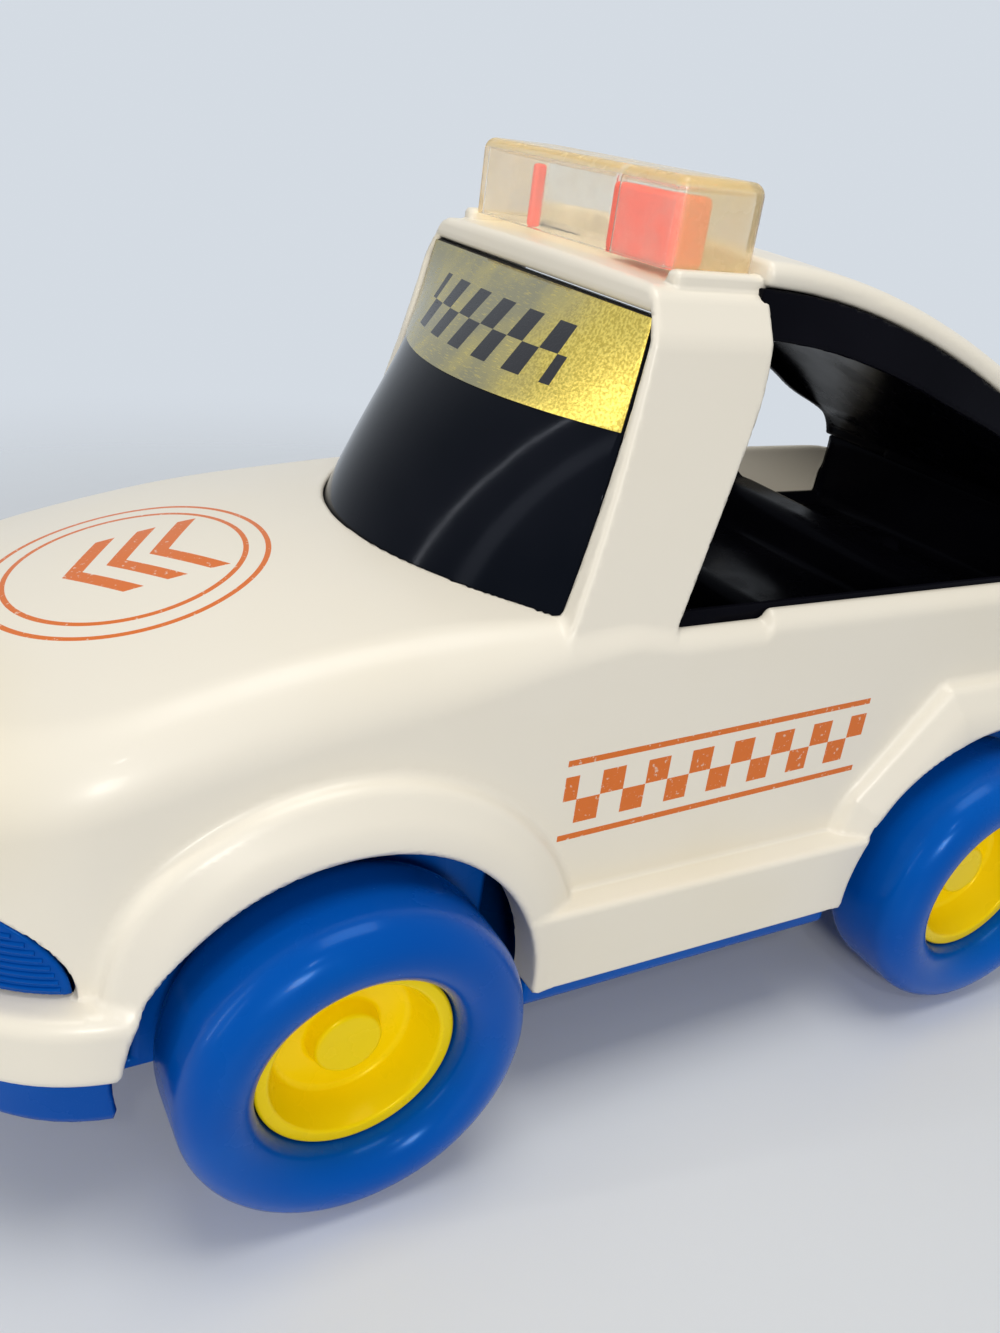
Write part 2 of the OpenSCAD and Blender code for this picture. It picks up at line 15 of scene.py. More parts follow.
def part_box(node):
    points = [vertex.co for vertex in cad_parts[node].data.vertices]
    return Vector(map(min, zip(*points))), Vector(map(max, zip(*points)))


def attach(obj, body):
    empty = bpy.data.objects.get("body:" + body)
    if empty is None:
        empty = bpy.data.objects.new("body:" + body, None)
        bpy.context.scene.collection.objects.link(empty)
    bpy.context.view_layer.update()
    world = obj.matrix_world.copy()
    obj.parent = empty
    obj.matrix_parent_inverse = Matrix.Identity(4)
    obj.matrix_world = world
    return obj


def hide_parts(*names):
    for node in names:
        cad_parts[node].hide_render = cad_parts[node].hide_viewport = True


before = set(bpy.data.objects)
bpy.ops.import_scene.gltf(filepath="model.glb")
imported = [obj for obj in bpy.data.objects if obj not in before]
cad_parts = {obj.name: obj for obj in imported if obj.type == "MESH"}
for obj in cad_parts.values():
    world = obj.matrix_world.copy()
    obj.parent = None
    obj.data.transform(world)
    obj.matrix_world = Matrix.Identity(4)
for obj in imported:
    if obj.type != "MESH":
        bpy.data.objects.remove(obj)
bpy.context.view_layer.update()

LOG = logging.getLogger("toy_car")
MM = 0.001
PHOTO_HEIGHT_PX = 1333
TRIANGLE_LIMIT = 190000

Array = np.ndarray
Field = Callable[[Array, Array, Array], Array]
Colour = tuple[float, float, float]
Point = tuple[float, float, float]
Section = list[tuple[float, float]]


def box_mm(node: str) -> tuple[Array, Array]:
    """Corners of a node of the frame in millimetres.

    Args:
        node: name of the node.

    Returns:
        The lowest and the highest corner.
    """
    low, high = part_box(node)
    return np.array(low) / MM, np.array(high) / MM


def round_max(a: Array, b: Array, r: float | Array) -> Array:
    """Intersection of two distance fields, with an outer edge of radius r."""
    return np.minimum(np.maximum(a, b), -r) + np.hypot(np.maximum(a + r, 0), np.maximum(b + r, 0))


def round_min(a: Array, b: Array, r: float | Array) -> Array:
    """Union of two distance fields, with an inner fillet of radius r."""
    return -round_max(-a, -b, r)


def slab(v: Array, low: float | Array, high: float | Array) -> Array:
    """Distance to the layer between two values of one coordinate."""
    return np.maximum(low - v, v - high)


def smooth_step(v: Array, low: float, high: float) -> Array:
    """Smooth ramp from 0 at low to 1 at high."""
    t = np.clip((v - low) / (high - low), 0, 1)
    return t * t * (3 - 2 * t)


def rounded_box(p: tuple[Array, Array, Array], low: tuple, high: tuple, r: float) -> Array:
    """Distance to a box with rounded edges.

    Args:
        p: coordinates of the points.
        low: lowest corner.
        high: highest corner.
        r: radius of every edge.

    Returns:
        Distances, negative inside.
    """
    over = [np.abs(v - (a + b) / 2) - (b - a) / 2 + r for v, a, b in zip(p, low, high)]
    outside = np.sqrt(sum(np.maximum(v, 0) ** 2 for v in over))
    return outside + np.minimum(np.maximum(np.maximum(over[0], over[1]), over[2]), 0) - r


@dataclass
class Mesher:
    """Turns a distance field in millimetres into a smooth closed mesh."""

    low: Point
    high: Point
    step: float
    mirrored: bool = True
    passes: int = 3
    layer: int = 16
    least_slope: float = 0.5

    def sample(self, field: Field) -> tuple[list[Array], Array]:
        """Field values on the grid, with the right half mirrored from the left.

        Args:
            field: the distance field.

        Returns:
            The grid's coordinates along each axis and the values.
        """
        step = self.step
        axes = [np.arange(a - 2 * step, b + 3 * step, step) for a, b in zip(self.low, self.high)]
        if self.mirrored:
            axes[1] = (np.arange(math.ceil(self.high[1] / step) + 2) + 0.5) * step
        layers = [field(*np.meshgrid(axes[0][i:i + self.layer], axes[1], axes[2], indexing="ij"))
                  for i in range(0, len(axes[0]), self.layer)]
        values = np.concatenate(layers)
        if self.mirrored:
            values = np.concatenate((values[:, ::-1], values), axis=1)
            axes[1] = np.concatenate((-axes[1][::-1], axes[1]))
        return axes, values

    def net(self, field: Field) -> tuple[Array, Array]:
        """Surface net of the field.

        Args:
            field: the distance field.

        Returns:
            The points and the corners of the quads.
        """
        axes, values = self.sample(field)
        inside = values < 0
        quads = []
        points = []
        for axis in range(3):
            first = [slice(None)] * 3
            second = [slice(None)] * 3
            first[axis] = slice(0, -1)
            second[axis] = slice(1, None)
            crossing = inside[tuple(first)] != inside[tuple(second)]
            index = np.argwhere(crossing)
            start = values[tuple(first)][crossing]
            stop = values[tuple(second)][crossing]
            point = np.stack([axes[c][index[:, c]] for c in range(3)], axis=1)
            point[:, axis] += self.step * start / (start - stop)
            u, v = (axis + 1) % 3, (axis + 2) % 3
            corners = []
            for du, dv in ((-1, -1), (0, -1), (0, 0), (-1, 0)):
                cell = index.copy()
                cell[:, u] += du
                cell[:, v] += dv
                corners.append(np.ravel_multi_index(cell.T, values.shape))
            quad = np.stack(corners, axis=1)
            turned = start >= 0
            quad[turned] = quad[turned][:, ::-1]
            quads.append(quad)
            points.append(point)
        quads = np.concatenate(quads)
        points = np.repeat(np.concatenate(points), 4, axis=0)
        _, corner = np.unique(quads, return_inverse=True)
        corner = corner.reshape(-1)
        count = np.bincount(corner)
        mean = np.stack([np.bincount(corner, points[:, c]) / count for c in range(3)], axis=1)
        return mean, corner.reshape(-1, 4)

    def slope(self, field: Field, points: Array) -> Array:
        """Gradient of the field at the points, by central differences.

        Args:
            field: the distance field.
            points: the points.

        Returns:
            One slope for each point.
        """
        reach = self.step * 0.1
        columns = []
        for axis in range(3):
            shift = np.zeros(3)
            shift[axis] = reach
            rise = self.value(field, points + shift) - self.value(field, points - shift)
            columns.append(rise / (2 * reach))
        return np.stack(columns, axis=1)

    def value(self, field: Field, points: Array) -> Array:
        """Field values at the points, mirrored where the mesh is."""
        y = np.abs(points[:, 1]) if self.mirrored else points[:, 1]
        return field(points[:, 0], y, points[:, 2])

    def settle(self, field: Field, points: Array) -> Array:
        """Moves the points onto the field's surface.

        Args:
            field: the distance field.
            points: points close to the surface.

        Returns:
            The moved points.
        """
        for _ in range(self.passes):
            slope = self.slope(field, points)
            share = self.value(field, points) / np.maximum((slope ** 2).sum(1), self.least_slope ** 2)
            share = np.clip(share, -self.step, self.step)
            points = points - share[:, None] * slope
        return points

    def build(self, name: str, field: Field) -> bpy.types.Object:
        """Closed smooth mesh of the field's inside.

        Args:
            name: name of the piece.
            field: the distance field.

        Returns:
            The new object, in metres.
        """
        points, quads = self.net(field)
        points = self.settle(field, points)
        piece = new_piece(name, points, quads)
        if 2 * len(quads) > TRIANGLE_LIMIT:
            thinner = piece.modifiers.new("thin", "DECIMATE")
            thinner.ratio = TRIANGLE_LIMIT / (2 * len(quads))
            bake_modifiers(piece)
            flat = np.empty(3 * len(piece.data.vertices))
            piece.data.vertices.foreach_get("co", flat)
            points = self.settle(field, flat.reshape(-1, 3) / MM)
            piece.data.vertices.foreach_set("co", (points * MM).ravel())
        normals = self.slope(field, points)
        normals /= np.maximum(np.linalg.norm(normals, axis=1), 1e-9)[:, None]
        piece.data.shade_smooth()
        piece.data.normals_split_custom_set_from_vertices(normals.tolist())
        return piece


def new_piece(name: str, points: Array, faces: Array) -> bpy.types.Object:
    """Mesh object from arrays.

    Args:
        name: name of the piece.
        points: its points in millimetres.
        faces: corner numbers of its faces, all with as many corners.

    Returns:
        The linked object, in metres.
    """
    mesh = bpy.data.meshes.new(name)
    mesh.vertices.add(len(points))
    mesh.vertices.foreach_set("co", (np.asarray(points, float) * MM).ravel())
    count, size = faces.shape
    mesh.loops.add(count * size)
    mesh.loops.foreach_set("vertex_index", faces.ravel().astype(np.int32))
    mesh.polygons.add(count)
    mesh.polygons.foreach_set("loop_start", np.arange(0, count * size, size, dtype=np.int32))
    mesh.update(calc_edges=True)
    mesh.validate()
    piece = bpy.data.objects.new(name, mesh)
    bpy.context.scene.collection.objects.link(piece)
    return piece


def bake_modifiers(piece: bpy.types.Object) -> None:
    """Replaces a piece's mesh by its evaluated one and removes its modifiers.

    Args:
        piece: the piece.
    """
    evaluated = piece.evaluated_get(bpy.context.evaluated_depsgraph_get())
    mesh = bpy.data.meshes.new_from_object(evaluated)
    piece.modifiers.clear()
    piece.data = mesh


class Body(Enum):
    """Rigid bodies that the pieces ride on."""

    CAR = "car"
    FRONT = "front_wheelset"
    REAR = "rear_wheelset"


class Shade:
    """A shader socket that adds Math nodes when it is used in an expression."""

    def __init__(self, board: "Board", socket: bpy.types.NodeSocket) -> None:
        """Keeps the board and the socket."""
        self.board = board
        self.socket = socket

    def math(self, operation: str, first: "Shade | float", second: "Shade | float" = 0.0) -> "Shade":
        """One Math node.

        Args:
            operation: the node's operation.
            first: its first value.
            second: its second value.

        Returns:
            The node's result.
        """
        return self.board.node("ShaderNodeMath", {"operation": operation}, {0: first, 1: second})["Value"]

    def __add__(self, other: "Shade | float") -> "Shade":
        """Sum."""
        return self.math("ADD", self, other)

    def __sub__(self, other: "Shade | float") -> "Shade":
        """Difference."""
        return self.math("SUBTRACT", self, other)

    def __rsub__(self, other: float) -> "Shade":
        """Difference from a number."""
        return self.math("SUBTRACT", other, self)

    def __mul__(self, other: "Shade | float") -> "Shade":
        """Product."""
        return self.math("MULTIPLY", self, other)

    def __truediv__(self, other: "Shade | float") -> "Shade":
        """Quotient."""
        return self.math("DIVIDE", self, other)

    def __lt__(self, other: "Shade | float") -> "Shade":
        """1 where this is less, else 0."""
        return self.math("LESS_THAN", self, other)

    def __gt__(self, other: "Shade | float") -> "Shade":
        """1 where this is more, else 0."""
        return self.math("GREATER_THAN", self, other)

    def __abs__(self) -> "Shade":
        """Absolute value."""
        return self.math("ABSOLUTE", self)

    __radd__ = __add__
    __rmul__ = __mul__

    def ramp(self, low: float, high: float) -> "Shade":
        """Smooth ramp from 0 at low to 1 at high."""
        settings = {"interpolation_type": "SMOOTHSTEP"}
        inputs = {"Value": self, "From Min": low, "From Max": high}
        return self.board.node("ShaderNodeMapRange", settings, inputs)["Result"]

    def most(self, other: "Shade | float") -> "Shade":
        """Larger of two values."""
        return self.math("MAXIMUM", self, other)

    def root(self) -> "Shade":
        """Square root."""
        return self.math("SQRT", self)

    def floor(self) -> "Shade":
        """Whole number below."""
        return self.math("FLOOR", self)

    def cycle(self, length: float) -> "Shade":
        """Remainder that is never negative."""
        return self.math("FLOORED_MODULO", self, length)

    def within(self, low: float, high: float) -> "Shade":
        """1 between two values, else 0."""
        return (self > low) * (self < high)


class Board:
    """Node board of one material."""

    def __init__(self, name: str) -> None:
        """Makes a material with an empty board.

        Args:
            name: name of the material.
        """
        self.material = bpy.data.materials.new(name)
        self.material.use_nodes = True
        self.tree = self.material.node_tree
        self.tree.nodes.clear()

    def node(self, kind: str, settings: dict, inputs: dict) -> dict[str, Shade]:
        """Adds a node.

        Args:
            kind: the node's type.
            settings: its settings by name, set first.
            inputs: values or links of its sockets, by name or number.

        Returns:
            Its outputs by name.
        """
        node = self.tree.nodes.new(kind)
        for key, value in settings.items():
            setattr(node, key, value)
        for key, value in inputs.items():
            if isinstance(value, Shade):
                self.tree.links.new(value.socket, node.inputs[key])
            else:
                node.inputs[key].default_value = value
        return {socket.name: Shade(self, socket) for socket in node.outputs if socket.enabled}

    def place(self) -> Shade:
        """Object coordinates."""
        return self.node("ShaderNodeTexCoord", {}, {})["Object"]

    def axes(self) -> tuple[Shade, Shade, Shade]:
        """Object coordinates in millimetres, one by one."""
        parts = self.node("ShaderNodeSeparateXYZ", {}, {"Vector": self.place()})
        return parts["X"] / MM, parts["Y"] / MM, parts["Z"] / MM

    def noise(self, size_mm: float, detail: float = 3.0, stretch: Point = (1.0, 1.0, 1.0)) -> Shade:
        """Cloudy noise.

        Args:
            size_mm: size of its patches.
            detail: number of finer layers.
            stretch: how much denser it is along each axis.

        Returns:
            Values about 0.5.
        """
        scaled = self.node("ShaderNodeVectorMath", {"operation": "MULTIPLY"}, {0: self.place(), 1: stretch})
        inputs = {"Vector": scaled["Vector"], "Scale": 1 / (size_mm * MM), "Detail": detail}
        return self.node("ShaderNodeTexNoise", {}, inputs)["Fac"]

    def mix(self, factor: Shade | float, first: Shade | Colour, second: Shade | Colour) -> Shade:
        """Mix of two colours.

        Args:
            factor: share of the second colour.
            first: the first colour.
            second: the second colour.

        Returns:
            The mixed colour.
        """
        colours = [c if isinstance(c, Shade) else (*c, 1.0) for c in (first, second)]
        made = self.node("ShaderNodeMix", {"data_type": "RGBA"}, {0: factor, 6: colours[0], 7: colours[1]})
        return made["Result"]

    def bump(self, height: Shade, strength: float, distance_mm: float) -> Shade:
        """Normal that follows a height."""
        inputs = {"Strength": strength, "Distance": distance_mm * MM, "Height": height}
        return self.node("ShaderNodeBump", {}, inputs)["Normal"]

    def finish(self, inputs: dict) -> bpy.types.Material:
        """Ends the board in a Principled shader.

        Args:
            inputs: values or links of the shader's sockets.

        Returns:
            The material.
        """
        shader = self.node("ShaderNodeBsdfPrincipled", {}, inputs)["BSDF"]
        self.node("ShaderNodeOutputMaterial", {}, {"Surface": shader})
        return self.material


@dataclass(frozen=True)
class Plastic:
    """Glossy moulded plastic with handling wear."""

    name: str
    colour: Colour
    faded: Colour
    roughness: float = 0.22
    rough_spread: float = 0.16
    mottle_mm: float = 40.0
    ripple_mm: float = 9.0
    ripple_depth: float = 0.05
    scuffs: float = 0.35
    coat: float = 0.25
    specular: float = 0.5
    sheen: Colour = (1.0, 1.0, 1.0)
    scratch_mm: float = 1.6
    patch_mm: float = 24.0
    cloud_mm: float = 14.0

    def base(self, board: Board) -> Shade:
        """Colour with a slow fade.

        Args:
            board: the material's board.

        Returns:
            The colour.
        """
        return board.mix(board.noise(self.mottle_mm).ramp(0.35, 0.75), self.colour, self.faded)

    def scuff_mask(self, board: Board) -> Shade:
        """Fine short scratches in patches."""
        lines = board.noise(self.scratch_mm, 2.0, (1.0, 9.0, 9.0)).ramp(0.66, 0.74)
        return lines * board.noise(self.patch_mm).ramp(0.48, 0.66) * self.scuffs

    def make(self) -> bpy.types.Material:
        """Makes the material.

        Returns:
            The material.
        """
        board = Board(self.name)
        return self.dress(board, self.base(board))

    def dress(self, board: Board, colour: Shade) -> bpy.types.Material:
        """Adds gloss, scuffs and moulding ripple under a colour.

        Args:
            board: the material's board.
            colour: the base colour.

        Returns:
            The material.
        """
        scuffs = self.scuff_mask(board)
        clouds = board.noise(self.cloud_mm, 5.0).ramp(0.35, 0.8)
        rough = self.roughness + clouds * self.rough_spread + scuffs * 0.25
        height = board.noise(self.ripple_mm, 1.0) - scuffs * 0.15
        return board.finish({
            "Base Color": board.mix(scuffs * 0.4, colour, self.faded),
            "Roughness": rough,
            "IOR": 1.5,
            "Specular IOR Level": self.specular,
            "Specular Tint": (*self.sheen, 1.0),
            "Coat Weight": self.coat,
            "Coat Roughness": 0.08,
            "Normal": board.bump(height, 0.6, self.ripple_depth),
        })


@dataclass(frozen=True)
class PrintedPlastic(Plastic):
    """Body plastic with its printed bands, front emblem and yellowed nose."""

    ink: Colour = (0.72, 0.16, 0.01)
    yellowed: Colour = (0.83, 0.70, 0.40)
    band_x: tuple[float, float] = (-46.0, 29.0)
    band_z: tuple[float, float] = (61.5, 79.0)
    band_rise: float = 0.035
    line_w: float = 1.3
    squares: float = 5.2
    side_y: float = 50.0
    emblem: tuple[float, float] = (95.5, 2.0)
    ring_r: tuple[float, float] = (25.0, 21.0)
    ring_w: float = 1.0
    chevron: tuple[float, float, float] = (11.5, 7.6, 3.5)
    chevron_slope: float = 0.7
    bonnet_z: float = 75.0
    aged_x: tuple[float, float] = (110.0, 150.0)
    aged_z: tuple[float, float] = (60.0, 90.0)
    aged_share: float = 0.55

    def side_band(self, x: Shade, y: Shade, z: Shade) -> Shade:
        """Two rows of squares between two lines along the doors.

        Args:
            x: place along the car.
            y: place across the car.
            z: height.

        Returns:
            1 where the ink is.
        """
        low, high = self.band_z
        level = z - low + x * self.band_rise
        tall = high - low
        lines = level.within(0, self.line_w).most(level.within(tall - self.line_w, tall))
        row = ((level - tall / 2) / self.squares).floor()
        column = (x / self.squares).floor()
        squares = (row + column).cycle(2.0).within(0.5, 1.5)
        rows = level.within(tall / 2 - self.squares, tall / 2 + self.squares)
        return lines.most(squares * rows) * x.within(*self.band_x) * (abs(y) > self.side_y)

    def badge(self, x: Shade, y: Shade, z: Shade) -> Shade:
        """Two rings round three chevrons on the bonnet.

        Args:
            x: place along the car.
            y: place across the car.
            z: height.

        Returns:
            1 where the ink is.
        """
        along = x - self.emblem[0]
        across = y - self.emblem[1]
        far = (along * along + across * across).root()
        outer, inner = (abs(far - r) < self.ring_w / 2 for r in self.ring_r)
        half, pitch, thick = self.chevron
        level = along + abs(across) * self.chevron_slope + pitch
        stripes = level.cycle(pitch).within(0, thick) * level.within(0, 3 * pitch - 0.1)
        chevrons = stripes * (abs(across) < half)
        return outer.most(inner).most(chevrons) * (z > self.bonnet_z)

    def make(self) -> bpy.types.Material:
        """Makes the material.

        Returns:
            The material.
        """
        board = Board(self.name)
        x, y, z = board.axes()
        aged = x.ramp(*self.aged_x) * z.ramp(*self.aged_z) * self.aged_share
        colour = board.mix(aged, self.base(board), self.yellowed)
        worn = 1 - board.noise(0.9, 4.0).ramp(0.62, 0.7) * 0.55
        ink = self.side_band(x, y, z).most(self.badge(x, y, z)) * worn
        return self.dress(board, board.mix(ink, colour, self.ink))


@dataclass(frozen=True)
class GoldFoil:
    """Scratched hot-stamped gold foil with dark squares; off its grainy side, worn dull gold and a painted
    dark reflection.
    """

    name: str = "gold_foil"
    bright: Colour = (1.0, 0.78, 0.18)
    deep: Colour = (0.66, 0.49, 0.09)
    # Dull grey-gold: partly worn foil, partly a painted reflection of a dark room.
    wear_and_dark_reflection: Colour = (0.40, 0.36, 0.22)
    mark: Colour = (0.012, 0.012, 0.016)
    mark_z: tuple[float, float] = (139.5, 149.5)
    mark_y: float = 27.5
    squares: float = 5.0
    grainy_y: tuple[float, float] = (18.0, 40.0)

    def make(self) -> bpy.types.Material:
        """Makes the material.

        Returns:
            The material.
        """
        board = Board(self.name)
        _, y, z = board.axes()
        low, high = self.mark_z
        row = ((z - low) / self.squares).floor()
        column = (y / self.squares).floor()
        marks = (row + column).cycle(2.0).within(0.5, 1.5) * z.within(low, high) * (abs(y) < self.mark_y)
        scratch = board.noise(1.1, 3.0, (1.0, 0.5, 6.0)).ramp(0.55, 0.7)
        cloud = board.noise(11.0, 5.0).ramp(0.4, 0.68)
        # 1 on the grainy, bright side of the band; elsewhere the dull painted reflection shows.
        grainy = (y + board.noise(14.0) * 16.0).ramp(*self.grainy_y)
        speck = board.noise(0.55, 4.0)
        grain = board.mix(speck.ramp(0.36, 0.64), self.deep, self.bright)
        # Painted dark reflection, with wear, over the band away from its grainy side.
        plain = board.mix(cloud * 0.25 + scratch * 0.3, self.wear_and_dark_reflection, self.bright)
        colour = board.mix(grainy, plain, grain)
        return board.finish({
            "Base Color": board.mix(marks, colour, self.mark),
            "Metallic": 1 - marks,
            "Roughness": 0.2 + scratch * 0.15 + cloud * 0.06 + grainy * 0.12,
            "Normal": board.bump(speck * (0.3 + grainy * 2.2) + scratch * 0.5, 0.4, 0.09),
        })


@dataclass(frozen=True)
class ClearPlastic:
    """Clear plastic that has yellowed and hazed with age."""

    name: str = "clear_cover"
    tint: Colour = (0.99, 0.975, 0.93)
    haze: Colour = (0.97, 0.93, 0.82)
    milk: Colour = (0.84, 0.80, 0.74)
    edge: Colour = (0.80, 0.62, 0.30)
    half_y: float = 35.2
    top_z: float = 174.0
    clarity: float = 0.8
    milkiness: float = 0.12
    rim_milk: float = 0.38

    def make(self) -> bpy.types.Material:
        """Makes the material.

        Returns:
            The material.
        """
        board = Board(self.name)
        _, y, z = board.axes()
        cloud = board.noise(9.0, 4.0).ramp(0.4, 0.75)
        rim = (abs(y) - self.half_y).ramp(0.0, 0.8).most((z - self.top_z).ramp(0.0, 0.8))
        clear = board.node("ShaderNodeBsdfPrincipled", {}, {
            "Base Color": board.mix(cloud, self.tint, self.haze),
            "Roughness": 0.05 + cloud * 0.12,
            "IOR": 1.3,
            "Transmission Weight": 1.0,
            "Normal": board.bump(board.noise(3.0, 2.0), 0.2, 0.05),
        })
        milky = board.node("ShaderNodeBsdfPrincipled", {}, {
            "Base Color": board.mix(rim, self.milk, self.edge),
            "Roughness": 0.25 + cloud * 0.1,
        })
        share = self.milkiness + cloud * 0.08 + rim * self.rim_milk
        both = board.node("ShaderNodeMixShader", {}, {0: share, 1: clear["BSDF"], 2: milky["BSDF"]})
        through = board.node("ShaderNodeBsdfTransparent", {}, {"Color": (*self.haze, 1.0)})
        lit = board.node("ShaderNodeLightPath", {}, {})["Is Shadow Ray"] * self.clarity
        cover = board.node("ShaderNodeMixShader", {}, {0: lit, 1: both["Shader"], 2: through["BSDF"]})
        board.node("ShaderNodeOutputMaterial", {}, {"Surface": cover["Shader"]})
        return board.material


@dataclass(frozen=True)
class Steel:
    """Drawn or turned steel."""

    name: str
    colour: Colour = (0.55, 0.55, 0.56)
    worn: Colour = (0.38, 0.38, 0.39)
    stretch: Point = (1.0, 12.0, 1.0)

    def make(self) -> bpy.types.Material:
        """Makes the material.

        Returns:
            The material.
        """
        board = Board(self.name)
        lines = board.noise(1.2, 3.0, self.stretch)
        return board.finish({
            "Base Color": board.mix(lines.ramp(0.3, 0.8), self.colour, self.worn),
            "Metallic": 1.0,
            "Roughness": 0.25 + lines * 0.2,
            "Normal": board.bump(lines, 0.3, 0.03),
        })


class Finishes:
    """All finishes of the car, by record slot."""

    def __init__(self) -> None:
        """Makes every material."""
        water = (0.12, 0.42, 1.0)
        dark = (0.22, 0.25, 0.32)
        white = PrintedPlastic(
            "body_white", (0.86, 0.81, 0.705), (0.84, 0.78, 0.65),
            roughness=0.32, rough_spread=0.08, mottle_mm=70.0, ripple_depth=0.03, coat=0.06, specular=0.4,
        )
        blue = Plastic(
            "blue_plastic", (0.0, 0.066, 0.36), (0.0, 0.085, 0.42),
            coat=0.0, specular=0.3, sheen=water,
        )
        tyre = Plastic(
            "blue_tyre", (0.0, 0.072, 0.39), (0.0, 0.095, 0.45),
            roughness=0.2, scuffs=0.6, coat=0.04, specular=0.3, sheen=water,
        )
        yellow = Plastic(
            "yellow_hub", (0.98, 0.72, 0.0), (0.95, 0.66, 0.0),
            scuffs=0.5, coat=0.03, sheen=(1.0, 0.8, 0.1),
        )
        black = Plastic(
            "black_plastic", (0.003, 0.003, 0.005), (0.005, 0.005, 0.008),
            roughness=0.2, coat=0.0, specular=0.035, sheen=dark,
        )
        screen = Plastic(
            "smoked_screen", (0.003, 0.004, 0.007), (0.006, 0.007, 0.011),
            roughness=0.1, rough_spread=0.05, scuffs=0.8, coat=0.0, specular=0.15, sheen=dark,
        )
        red = Plastic("red_beacon", (0.95, 0.075, 0.022), (0.95, 0.10, 0.035), roughness=0.35, coat=0.0)
        makers = [white, blue, tyre, yellow, black, screen, red, GoldFoil(), ClearPlastic(),
                  Steel("axle_steel"), Steel("screw_steel", stretch=(6.0, 6.0, 1.0))]
        self.by_slot = {maker.name: maker.make() for maker in makers}

    def dress(self, piece: bpy.types.Object, slot: str, body: Body, *nodes: str) -> None:
        """Gives a piece its finish and its place in the frame.

        Args:
            piece: the piece.
            slot: record slot of its finish.
            body: body that it rides on.
            nodes: nodes of the frame that it stands for.
        """
        piece.data.materials.clear()
        piece.data.materials.append(self.by_slot[slot])
        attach(piece, body.value)
        if nodes:
            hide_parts(*nodes)
        LOG.info("%s: %d faces", piece.name, len(piece.data.polygons))


